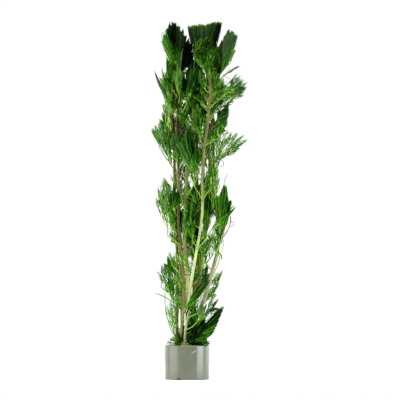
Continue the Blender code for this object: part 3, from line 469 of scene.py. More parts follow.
        "tips": [(-10.6, 12, 207), (-8.6, 15, 213), (-5.6, 16, 216.5), (-2.6, 15, 213.5), (-0.8, 12, 206)],
        "tonesAndShade": [0.8, 0.88, 0.92, 0.9, 0.8], "bloom": [0.2], "rim": 0.7, "ragged": 0.06},
    "tuft_back_right": {
        "at": 182, "lock": 1.8, "fork": 0.84, "kind": "tuft", "stalk": [(12.6, 10.2, 187)],
        "tips": [(8, 12.6, 208), (10.4, 15.4, 214.5), (14, 16.6, 217.2), (17.6, 15.6, 213),
        (19.6, 12.8, 206)], "tonesAndShade": [0.8, 0.86, 0.92, 0.88, 0.8], "bloom": [0.2], "rim": 0.7,
        "ragged": 0.06},
    "leaf_back_left_2": {
        "at": 140, "lock": 1.8, "fork": 0.78, "stalk": [(-8.4, 11.6, 145)], "tips": [(-17.6, 14, 162),
        (-15.6, 17, 166.4), (-12, 19.2, 168.6), (-8, 19.6, 165)]},
    "leaf_back_left_3": {
        "at": 92, "lock": 1.8, "fork": 0.78, "stalk": [(-8.4, 10.6, 97)], "tips": [(-17.6, 12, 112),
        (-16, 15, 117), (-12.4, 17.4, 119.4), (-8.4, 18, 116)]},
    "leaf_back_left_4": {
        "at": 52, "lock": 1.8, "fork": 0.76, "stalk": [(-6.4, 9.6, 57)], "tips": [(-14.6, 11.6, 72),
        (-12.4, 14.4, 76.4), (-8.6, 16.2, 76.8), (-5.2, 16.4, 73)]},
    "leaf_back_right_2": {
        "at": 134, "lock": 1.8, "fork": 0.78, "stalk": [(13.8, 12.6, 139)], "tips": [(12.6, 18.4, 162),
        (16.4, 18.8, 166), (20.4, 17.6, 164.4), (23.4, 15, 158.6)]},
    "leaf_back_right_3": {
        "at": 88, "lock": 1.8, "fork": 0.78, "stalk": [(10.6, 12.2, 93)], "tips": [(9.4, 17.6, 115),
        (13.4, 18.6, 119.4), (17.6, 17.8, 117), (21, 15.4, 111)]},
    "leaf_back_right_4": {
        "at": 46, "lock": 1.8, "fork": 0.76, "stalk": [(6.4, 11.2, 51)], "tips": [(5.6, 15.8, 70),
        (9.4, 16.6, 73.6), (13.4, 15.6, 71.4), (16, 13.4, 66)]},
}

# ways of growing: a plain leaf, then what tufts, solid blades and nets of loose strands do otherwise
plainKind = {
    "lock": 1.4, "fork": 0.7, "baseToneAndShade": 0.34, "tonesAndShade": [0.6], "bloom": [0.0], "rim": 0.0, "fill": 4.5,
    "layers": 1, "depth": 2.6, "ragged": 0.16, "wander": 0.45, "strand": 0.25, "toneAndShadeFrom": 0.1, "toneAndShadeTo": 0.7,
    "blunt": 0.0, "kink": 0.3, "tipKink": 0.3, "forked": 0.66, "step": 1.6, "streak": 0.13,
    "paleShare": 0.14, "teeth": 0.05, "brown": 0.0,
}
kinds = {
    "plain": {},
    "tuft": {"baseToneAndShade": 0.42, "fill": 12.0, "layers": 3, "blunt": 1.0, "ragged": 0.035, "rim": 1.0,
        "kink": 0.14, "tipKink": 0.1, "forked": 0.5, "streak": 0.12, "wander": 0.35, "strand": 0.21},
    "solid": {"fill": 7.5, "layers": 2, "kink": 0.16, "tipKink": 0.2, "forked": 0.56, "wander": 0.35},
    "net": {"baseToneAndShade": 0.3, "fill": 1.9, "kink": 0.55, "tipKink": 0.7, "forked": 0.8, "strand": 0.28,
        "wander": 0.8, "step": 1.9, "streak": 0.16, "paleShare": 0.2},
}
stalkShape = {
    "radius": 0.33, "sides": 6, "step": 1.6, "tan": 0.16, "end": 0.6, "baseToneAndShade": 0.2, "topBaseToneAndShade": 0.42,
    "topFrom": 175,
}
strandShape = {
    # how strands stray: first from their lane as a whole, then kink by kink
    "sway": (0.7, 2.1), "turn": 6.28, "swayShare": (0.5, 1), "belly": 0.8, "layerJitter": 0.3, "drag": 0.6,
    "loosen": (0.0, 0.2), "calm": (0.5, 0.85),
    # how they end: in teeth and ragged tips, and a little shorter in every second layer
    "toothCurve": 2.5, "raggedCurve": 1.7, "shorter": 0.02, "leastSteps": 7, "leastEnds": 8,
    # how thick they are and how they fork
    "thicken": 0.12, "taper": 0.2, "sizes": (0.7, 1.25), "point": 0.06, "nearPoint": 0.85,
    "runs": (0.55, 1.25), "cuts": (0.35, 0.65), "threeWays": 0.2, "lastForks": 0.06, "mainLocks": (5, 9),
    # how their colour varies: a painted grey-green sheen, a rim of painted light at the ends, and paler
    # strands that are partly real variation and partly painted highlights
    "toneAndShadeSpread": 0.05, "paintedSheenSpread": (0.3, 1.2), "paintedSheenAt": (0.2, 0.55), "rimAt": (0.95, 0.985),
    "rimShare": 0.8, "paler": 0.12, "facing": 0.4,
}
bladeShape = {
    # fold is how far a blade bulges towards the viewer and pull bends its locks, both as in the CAD solids;
    # leaves behind backY bulge backwards, and edge is how wide the outer locks are on the way up
    "fold": 2.2, "pull": 0.12, "backY": 5.0, "flattest": 0.3, "edgeAt": (0, 0.26, 0.52),
    "edge": (0, 0.75, 1.0, 0.9), "lastFork": 0.999, "narrowing": 1.5,
}


def tubeMesh(name, chains):
    # closed tubes round chains of points; each chain is a dictionary of equally long lists
    points, faces, columns = [], [], {mark: [] for mark in leafMarks}
    count = 0
    bins = {}
    for chain in chains:
        bins.setdefault((len(chain["points"]), chain.get("sides", 3)), []).append(chain)
    for (length, sides), group in sorted(bins.items()):
        path = np.array([c["points"] for c in group])
        radius = np.array([c["radius"] for c in group])
        facing = np.array([c["facing"] for c in group])[:, None, :]
        along = np.gradient(path, axis=1)
        along /= np.linalg.norm(along, axis=2, keepdims=True) + 1e-9
        across = np.cross(along, np.broadcast_to(facing, along.shape))
        across /= np.linalg.norm(across, axis=2, keepdims=True) + 1e-9
        other = np.cross(along, across)
        angles = np.arange(sides) * 2 * math.pi / sides
        ring = (across[:, :, None, :] * np.cos(angles)[None, None, :, None]
                + other[:, :, None, :] * np.sin(angles)[None, None, :, None])
        skin = path[:, :, None, :] + ring * radius[:, :, None, None]
        points.append(skin.reshape(-1, 3))
        for mark, column in columns.items():
            values = np.array([c[mark] for c in group], dtype=float)
            column.append(np.repeat(values.reshape(-1), sides))
        first = count + np.arange(len(group))[:, None, None] * length * sides
        step = np.arange(length - 1)[None, :, None] * sides
        side = np.arange(sides)[None, None, :]
        a = first + step + side
        b = first + step + (side + 1) % sides
        c, d = b + sides, a + sides
        faces.append(np.stack([a, b, c], axis=-1).reshape(-1, 3))
        faces.append(np.stack([a, c, d], axis=-1).reshape(-1, 3))
        start = first.reshape(-1)
        end = start + (length - 1) * sides
        for i in range(1, sides - 1):
            faces.append(np.stack([start, start + i + 1, start + i], axis=-1))
            faces.append(np.stack([end, end + i, end + i + 1], axis=-1))
        count += len(group) * length * sides
    mesh = bpy.data.meshes.new(name)
    mesh.from_pydata(np.concatenate(points) * mm, [], np.concatenate(faces))
    for mark, column in columns.items():
        data = mesh.attributes.new(mark, "FLOAT", "POINT").data
        data.foreach_set("value", np.maximum(np.concatenate(column), 0).astype(np.float32))
    mesh.shade_smooth()
    return addToScene(name, mesh)


def easeStep(low, high, value):
    t = np.clip((value - low) / (high - low), 0, 1)
    return t * t * (3 - 2 * t)


def perLock(values, lock, count):
    # a looks list holds one value for each tip, and its last one goes for the rest
    return np.array(list(values) + [values[-1]] * count)[:count][lock]


def laneMaker(looks, base, tips):
    # returns where a strand runs: lock is its number, side is -1 to 1 across the lock, parts go from 0 to 1
    base, tips = np.array(base), np.array(tips)
    count = len(tips)
    mean = tips.mean(axis=0) - base
    forward = mean / np.linalg.norm(mean)
    normal = np.cross(tips[0] - base, tips[-1] - base)
    flat = np.linalg.norm(normal) / (np.linalg.norm(tips[0] - base) * np.linalg.norm(tips[-1] - base))
    normal = normal / np.linalg.norm(normal) if flat > bladeShape["flattest"] else np.array([0.0, 1.0, 0.0])
    bulge = -bladeShape["fold"] if base[1] < bladeShape["backY"] else bladeShape["fold"]
    fork = looks["fork"] + (bladeShape["lastFork"] - looks["fork"]) * looks["blunt"]
    pull = bladeShape["pull"]

    def centre(lock, parts):
        tip = tips[lock][:, None, :]
        span = np.linalg.norm(tip - base, axis=2, keepdims=True)
        handle = base + forward * span * pull + (tip - base) * (0.5 - pull)
        p = parts[:, :, None]
        return base * (1 - p) ** 2 + handle * 2 * p * (1 - p) + tip * p**2

    def lane(lock, side, parts):
        low = np.minimum(parts, fork)
        middle = centre(lock, parts)
        here = centre(lock, low)
        right = np.cross(np.broadcast_to(normal, here.shape), here - base)
        right /= np.linalg.norm(right, axis=2, keepdims=True) + 1e-9
        edge = np.interp(low, [*bladeShape["edgeAt"], fork], bladeShape["edge"])[:, :, None] * looks["lock"]
        toRight = np.where((lock < count - 1)[:, None, None],
                           (centre(np.minimum(lock + 1, count - 1), low) - here) / 2, right * edge)
        toLeft = np.where((lock > 0)[:, None, None],
                          (centre(np.maximum(lock - 1, 0), low) - here) / 2, -right * edge)
        gap = np.where((side > 0)[:, None, None], toRight, toLeft)
        past = np.clip((parts - fork) / (1 - fork), 0, 1)
        taper = 1 - (1 - looks["blunt"]) * past ** bladeShape["narrowing"]
        place = middle + gap * (np.abs(side)[:, None] * taper)[:, :, None]
        share = ((lock + 0.5 + side / 2) / count)[:, None]
        place[:, :, 1] += bulge * 4 * share * (1 - share) * low * (1 - past)
        return place

    rightward = np.cross(normal, forward)
    return lane, normal, rightward / np.linalg.norm(rightward)


def seedEnds(looks, spans, rng):
    # where the strands end: their number, the lock of each one and its place across that lock
    width = sum(spans) + 2 * looks["lock"]
    ends = max(strandShape["leastEnds"], round(width * looks["fill"] / max(1, looks["layers"] * 0.75)))
    across = (np.arange(ends) + rng.uniform(0.1, 0.9, ends)) / ends * width - looks["lock"]
    middles = np.concatenate([[0], np.cumsum(spans)])
    borders = (middles[1:] + middles[:-1]) / 2
    lock = np.searchsorted(borders, across)
    offset = across - middles[lock]
    halves = [span / 2 for span in spans]
    halfRight = np.array(halves + [looks["lock"]])[lock]
    halfLeft = np.array([looks["lock"]] + halves)[lock]
    return ends, lock, np.clip(np.where(offset > 0, offset / halfRight, offset / halfLeft), -1, 1)


def growBlade(form, base, tips, rng, chains):
    # a fan of strands that fork again and again from the blade's base to its tips
    looks = {**plainKind, **kinds[form.get("kind", "plain")], **form}
    shape = strandShape
    count = len(tips)
    lane, normal, rightward = laneMaker(looks, base, tips)
    spans = [math.dist(tip, after) for tip, after in zip(tips, tips[1:])]
    reach = np.mean([math.dist(base, tip) for tip in tips])
    steps = max(shape["leastSteps"], round(reach / looks["step"]))
    line = np.linspace(0, 1, steps)
    belly = np.sin(math.pi * line ** shape["belly"])
    calm = 1 - (1 - looks["tipKink"]) * easeStep(*shape["calm"], line)
    loose = looks["kink"] * easeStep(*shape["loosen"], line) * calm
    darken = easeStep(looks["toneAndShadeFrom"], looks["toneAndShadeTo"], line)
    # the rim: painted light shining through the thin ends of the strands
    edging = looks["rim"] * easeStep(*shape["rimAt"], line)
    teeth = rng.uniform(0, 1, 3 * count) ** shape["toothCurve"]
    teeth = looks["teeth"] * (teeth - teeth.min())
    for layer in range(looks["layers"]):
        ends, lock, side = seedEnds(looks, spans, rng)
        tooth = 3 * lock + np.minimum(2, ((side + 1) * 1.5).astype(int))
        long = 1 - looks["ragged"] * rng.uniform(0, 1, ends) ** shape["raggedCurve"] - teeth[tooth]
        long *= 1 - shape["shorter"] * (layer % 2)
        long += 1 - long.max()
        place = lane(lock, side, line[None, :] * (1 - (1 - long[:, None]) * line[None, :]))
        # layers lie behind each other, and every strand strays from its lane
        jitter = rng.uniform(-shape["layerJitter"], shape["layerJitter"], ends)
        level = ((layer + 0.5) / looks["layers"] - 0.5 + jitter) * looks["depth"]
        beat = rng.uniform(*shape["sway"], (2, ends, 1))
        phase = rng.uniform(0, shape["turn"], (2, ends, 1))
        sway = np.sin(line * beat * shape["turn"] + phase) * belly * looks["wander"]
        place += rightward * sway[0][:, :, None] * rng.uniform(*shape["swayShare"], ends)[:, None, None]
        place += normal * (sway[1] + level[:, None] * belly)[:, :, None]
        total = np.concatenate([np.zeros((1, steps, 3)), np.cumsum(place, axis=0)])
        tipToneAndShade = perLock(looks["tonesAndShade"], lock, count) + rng.normal(0, shape["toneAndShadeSpread"], ends)
        # each lock's painted grey-green sheen, fading in from a fifth of the way up
        tipPaintedSheen = perLock(looks["bloom"], lock, count) * rng.uniform(*shape["paintedSheenSpread"], ends)

        def addChain(first, last, start, stop, origin, drift):
            # the shared stretch of the strands from first to last, which ends where they fork
            size = last - first
            points = [origin]
            for k, kick in zip(range(start, stop), rng.normal(0, 1, (stop - start, 2))):
                drift = drift * shape["drag"] + kick * loose[k]
                middle = (total[last, k] - total[first, k]) / size
                points.append(middle + rightward * drift[0] + normal * drift[1])
            at = line[start - 1:stop]
            radius = looks["strand"] * size ** shape["thicken"] * (1 - shape["taper"] * at)
            radius = radius * rng.uniform(*shape["sizes"])
            if size == 1:
                radius[-1] = shape["point"]
                radius[-2] *= shape["nearPoint"]
            guide = (first + last - 1) // 2
            age = looks["baseToneAndShade"] + (tipToneAndShade[guide] - looks["baseToneAndShade"]) * darken[start - 1:stop]
            facing = normal + rng.uniform(-shape["facing"], shape["facing"], 3)
            age = age + rng.normal(0, looks["streak"])
            # some strands are painted paler: partly real variation, partly painted highlights
            age = age - (shape["paler"] if rng.uniform() < looks["paleShare"] else 0)
            chains.append({
                "points": points, "radius": radius, "facing": facing, "age": age,
                "bloom": tipPaintedSheen[guide] * easeStep(*shape["paintedSheenAt"], at),
                "rim": edging[start - 1:stop] * (rng.uniform() < shape["rimShare"]),
                "brown": looks["brown"] + 0 * at,
            })
            return points[-1], drift

        def grow(first, last, step, origin, drift):
            size = last - first
            if size == 1:
                addChain(first, last, step, steps, origin, drift)
                return
            room = max(1.0, (looks["forked"] - line[step - 1]) * (steps - 1))
            run = max(1, round(room / math.log2(size) * rng.uniform(*shape["runs"])))
            early = line[min(step + run, steps - 1)] < looks["forked"] + shape["lastForks"]
            stop = min(step + run if early else step + 1, steps)
            origin, drift = addChain(first, last, step, stop, origin, drift)
            if stop >= steps:
                return
            cuts = [first, first + max(1, min(size - 1, round(size * rng.uniform(*shape["cuts"])))), last]
            if size > 5 and rng.uniform() < shape["threeWays"]:
                cuts = [first, first + size // 3, first + 2 * size // 3, last]
            for low, high in zip(cuts, cuts[1:]):
                grow(low, high, stop, origin, drift)

        fewest, most = shape["mainLocks"]
        main = max(fewest, min(count, most))
        cuts = np.linspace(0, ends, main + 1) + np.r_[0, rng.uniform(-1, 1, main - 1), 0]
        cuts = np.unique(np.round(cuts).astype(int))
        for low, high in zip(cuts, cuts[1:]):
            grow(low, high, 1, np.array(base, dtype=float), np.zeros(2))


def growStalk(root, stalk, chains, baseToneAndShade=stalkShape["baseToneAndShade"]):
    # the leaf stalk, brown where it joins the stem
    path = smoothRoute([root] + [Vector(p) for p in stalk], stalkShape["step"])
    path.append(path[-1] + (path[-1] - path[-2]).normalized() * stalkShape["end"])
    at = np.linspace(0, 1, len(path))
    chains.append({
        "points": np.array(path), "radius": stalkShape["radius"] * (1.15 - 0.3 * at),
        "sides": stalkShape["sides"], "facing": np.array([0.2, 1.0, 0.1]), "age": baseToneAndShade + 0.12 * at,
        "bloom": 0 * at, "rim": 0 * at, "brown": np.clip(1 - at * 7, stalkShape["tan"], 1) * 0.8,
    })


def growLeaf(leaf, form, seed, name, node=None):
    # a leaf grows from the stem that it is named for, unless its form names another
    tail = leaf.split("_", 1)[1]
    stem = form.get("stem") or next(stem for stem in stems if tail.startswith(stem.removeprefix("stem_")))
    baseToneAndShade = stalkShape["baseToneAndShade"] if form["at"] < stalkShape["topFrom"] else stalkShape["topBaseToneAndShade"]
    chains = []
    growStalk(pointAtHeight(stemRoutes[stem], form["at"]), form["stalk"], chains, baseToneAndShade)
    growBlade(form, form["stalk"][-1], form["tips"], np.random.default_rng(seed), chains)
    finishPiece(tubeMesh(name, chains), leafMaterial, node)


leafSeed, extraSeed, spareSeed = 100, 300, 500  # each leaf's own random start is one of these and its number

for number, (leaf, form) in enumerate(leaves.items()):
    growLeaf(leaf, form, leafSeed + number, leaf + "_strands", leaf)
print("leaves done")

# leaves in front of, between and behind the measured ones, which close the gaps in the bunch
extraLeaves = {
    "leaf_left_1": {
        "at": 174, "lock": 1.3, "kind": "solid", "stalk": [(-9.4, -1.4, 179)], "tips": [(-12.6, -3, 200),
        (-10.4, -3.4, 205), (-8.2, -3.4, 206), (-6.2, -3.2, 202)], "tonesAndShade": [0.6, 0.66, 0.7, 0.8]},
    "leaf_left_1_behind": {
        "at": 168, "lock": 1.3, "kind": "solid", "stalk": [(-8.4, 0.6, 172)], "tips": [(-10.6, 3, 190),
        (-8, 3.4, 193), (-5.6, 3.4, 192)], "tonesAndShade": [0.85]},
    "leaf_inner_left_1": {
        "at": 170, "lock": 1.2, "kind": "solid", "stalk": [(-4.6, -7, 175)], "tips": [(-8, -8, 192),
        (-6, -8.6, 197), (-4, -8.8, 200), (-2.6, -8.4, 195)], "tonesAndShade": [0.52, 0.58, 0.6, 0.66],
        "bloom": [0.2]},
    "leaf_inner_left_1_behind": {
        "at": 165, "lock": 1.2, "kind": "solid", "stalk": [(-3.8, -4, 169)], "tips": [(-6.4, -2.4, 188),
        (-4, -2, 191), (-1.6, -2, 192), (0.6, -2.4, 188)], "tonesAndShade": [0.9]},
    "leaf_centre_1": {
        "at": 176, "lock": 1.2, "fork": 0.74, "kind": "solid", "stalk": [(2.6, -5.4, 180)],
        "tips": [(-0.4, -9, 192), (1, -9.4, 198.6), (3.4, -9.4, 203), (6, -9.2, 203), (8.4, -9, 199)],
        "tonesAndShade": [0.84, 0.88, 0.92, 0.92, 0.86]},
    "leaf_centre_2_behind": {
        "at": 152, "lock": 1.5, "fork": 0.74, "kind": "solid", "stalk": [(4.6, -2, 156)],
        "tips": [(1, -2, 172), (3, -2.4, 178), (6.4, -2.6, 180), (9.6, -2.4, 178), (12, -2, 172)],
        "tonesAndShade": [0.84, 0.9, 0.86, 0.78, 0.7]},
    "leaf_centre_3_behind": {
        "at": 94, "lock": 1.6, "fork": 0.78, "kind": "solid", "stalk": [(2, -2.4, 98)],
        "tips": [(-2, -1.4, 114), (1.2, -1, 121), (5, -1, 124), (9, -1, 123), (12.4, -1.4, 116)],
        "tonesAndShade": [0.7, 0.82, 0.88, 0.88, 0.8]},
    "leaf_middle_2_behind": {
        "at": 66, "lock": 1.6, "fork": 0.78, "kind": "solid", "stalk": [(5, -0.6, 70)],
        "tips": [(-1.6, 1, 90), (1.4, 1.4, 98), (5, 1.6, 101), (8.6, 1.4, 99), (12, 1, 92)],
        "tonesAndShade": [0.7, 0.8, 0.84, 0.82, 0.7]},
    "leaf_left_2_behind": {
        "at": 80, "fork": 0.76, "kind": "solid", "stalk": [(-6.6, -0.6, 84)], "tips": [(-10, 0, 104),
        (-7.4, 0.4, 111), (-4.6, 0.4, 112), (-1.6, 0, 107)], "tonesAndShade": [0.7, 0.82, 0.84, 0.76]},
    "leaf_left_folded": {
        "stem": "stem_inner_left", "at": 46.5, "lock": 1.1, "fork": 0.8, "kind": "solid",
        "stalk": [(-8.4, -9.4, 49.6)], "tips": [(-11.6, -10.6, 63.4), (-9.4, -10.8, 62.4)],
        "tonesAndShade": [0.62, 0.7], "baseToneAndShade": 0.4},
    "leaf_front_1_bend": {
        "at": 184.6, "lock": 0.7, "fork": 0.8, "kind": "net", "stalk": [(11.4, -12.6, 190.6)],
        "tips": [(3.8, -14.6, 201), (4.2, -15, 204.6), (6.2, -15, 207.2)], "tonesAndShade": [0.6, 0.68, 0.76],
        "baseToneAndShade": 0.42, "fill": 5, "brown": 0.05, "kink": 0.2},
    "leaf_right_3_lattice": {
        "at": 164, "lock": 1.2, "kind": "net", "stalk": [(18.4, -4, 167.2)], "tips": [(23, -6, 177),
        (27.4, -6.4, 178), (32, -6.6, 178), (29.6, -6.4, 172.8)], "tonesAndShade": [0.42], "fill": 2.2},
    "leaf_left_2_lattice": {
        "at": 148, "lock": 1.2, "kind": "net", "stalk": [(-9.8, -3, 152)], "tips": [(-15.2, -5, 171),
        (-14.4, -5.2, 179), (-12.4, -5.2, 183), (-10.2, -5, 179)], "tonesAndShade": [0.34], "fill": 2.2},
    "leaf_inner_left_5_right": {
        "at": 81, "lock": 1.3, "fork": 0.74, "stalk": [(-1.2, -8.8, 86)], "tips": [(-2.6, -10.4, 104),
        (0.4, -10.8, 110), (3.6, -11, 113), (7, -11, 112), (9.6, -10.6, 107)],
        "tonesAndShade": [0.62, 0.7, 0.76, 0.78, 0.7], "streak": 0.2},
    "leaf_middle_1": {
        "at": 172, "kind": "solid", "stalk": [(5, 0.6, 176)], "tips": [(0.6, -1, 193), (3.4, -1.5, 199),
        (6.6, -1.6, 200), (9.6, -1.2, 195)], "tonesAndShade": [0.8, 0.84, 0.86, 0.8]},
    "leaf_front_1_right": {
        "at": 183.3, "lock": 1.1, "fork": 0.68, "kind": "net", "stalk": [(13.4, -12, 187)],
        "tips": [(9.6, -13.4, 203), (12.2, -13.8, 206.4), (14.8, -13.8, 207), (17, -13.4, 201)],
        "tonesAndShade": [0.66, 0.74, 0.76, 0.7], "fill": 4.5, "kink": 0.45, "baseToneAndShade": 0.5, "streak": 0.18},
    "leaf_right_1_left": {
        "at": 176, "lock": 1.3, "kind": "solid", "stalk": [(17.6, -2.4, 180)], "tips": [(13.6, -4, 197),
        (16, -4.4, 201), (18.6, -4.4, 203), (21, -4, 199)], "tonesAndShade": [0.5, 0.6, 0.78, 0.82], "baseToneAndShade": 0.32,
        "streak": 0.2},
    "leaf_right_2_left": {
        "at": 168, "lock": 1.3, "fork": 0.66, "kind": "net", "stalk": [(16.8, -4, 171)],
        "tips": [(14, -7, 184), (16.6, -7.4, 189), (19.4, -7.4, 190), (21.6, -7, 186)], "tonesAndShade": [0.36],
        "fill": 3.4},
    "leaf_right_6_lattice": {
        "at": 73, "lock": 1.2, "kind": "net", "stalk": [(18.4, -8.6, 77)], "tips": [(14.6, -10, 91),
        (17, -10.4, 96), (20, -10.4, 98), (23, -10, 94)], "tonesAndShade": [0.5], "fill": 2.6},
    "leaf_right_4_lattice": {
        "at": 121, "lock": 1.2, "kind": "net", "stalk": [(17.4, -5, 124.4)], "tips": [(13.4, -7, 142),
        (16, -7.4, 148), (19.2, -7.4, 149.6), (22, -7, 145)], "tonesAndShade": [0.42], "fill": 2.4},
    "foot_leaf_front": {
        "stem": "stem_front", "at": 21.5, "kind": "solid", "stalk": [(0.8, -8.4, 22)],
        "tips": [(1, -12, 27.6), (3, -12.4, 32), (6.6, -12.6, 35), (10, -12.4, 34), (13, -12, 30)],
        "tonesAndShade": [0.9, 0.92, 0.95, 0.92, 0.85], "blunt": 0.7, "toneAndShadeFrom": 0.0, "toneAndShadeTo": 0.3},
    "foot_leaf_middle": {
        "stem": "stem_middle", "at": 24, "lock": 1.6, "kind": "solid", "stalk": [(6.6, -6.4, 26)],
        "tips": [(2, -8.4, 40), (5, -8.8, 44), (8.4, -8.8, 43), (11.4, -8.4, 38)],
        "tonesAndShade": [0.85, 0.9, 0.9, 0.85]},
    "foot_leaf_behind": {
        "stem": "stem_centre", "at": 21.5, "lock": 1.6, "kind": "solid", "stalk": [(-1, -1.4, 22)],
        "tips": [(-6, -2.6, 30), (-3, -3, 34), (0, -3, 36), (4, -3, 36), (8, -2.6, 33), (12, -2.4, 29)],
        "tonesAndShade": [0.7, 0.8, 0.95, 0.95, 0.92, 0.9], "blunt": 0.5, "toneAndShadeFrom": 0.0, "toneAndShadeTo": 0.3},
    "foot_leaf_brown_side": {
        "stem": "stem_inner_left", "at": 21.5, "lock": 1, "kind": "solid", "stalk": [(-4.8, -6, 22)],
        "tips": [(-8, -8.4, 24.6), (-6.4, -8.8, 27.6), (-4.4, -9, 28.6), (-2.8, -8.6, 26.6)],
        "tonesAndShade": [0.55, 0.7, 0.8, 0.85], "toneAndShadeFrom": 0.0, "toneAndShadeTo": 0.3},
    "foot_leaf_low": {
        "stem": "stem_right", "at": 20.5, "fork": 0.8, "kind": "solid", "stalk": [(8, -7, 20.8)],
        "tips": [(1.6, -9.4, 23), (3, -9.6, 27), (6, -9.8, 29), (9, -9.8, 29), (12, -9.6, 27), (14, -9, 23)],
        "tonesAndShade": [0.95, 0.95, 0.9, 0.85, 0.8, 0.7], "blunt": 0.6, "toneAndShadeFrom": 0.0, "toneAndShadeTo": 0.2},
    "foot_leaf_right": {
        "stem": "stem_right", "at": 23, "lock": 1.1, "fork": 0.66, "kind": "net",
        "stalk": [(10.6, -5.6, 24)], "tips": [(9, -8, 33), (12, -8.4, 36), (15, -8.6, 36), (16.4, -8.6, 31)],
        "tonesAndShade": [0.55, 0.6, 0.6, 0.5], "fill": 3.6},
    "foot_leaf_left": {
        "stem": "stem_left", "at": 22, "lock": 0.9, "fork": 0.66, "kind": "net", "stalk": [(-7.4, -5, 22.4)],
        "tips": [(-11.6, -8.8, 23.2), (-10.6, -9.2, 25.4), (-8.6, -9.6, 27), (-6.8, -9.4, 26.6)],
        "tonesAndShade": [0.5], "fill": 3},
}

for number, (leaf, form) in enumerate(extraLeaves.items()):
    growLeaf(leaf, form, extraSeed + number, leaf)
print("extra leaves done")

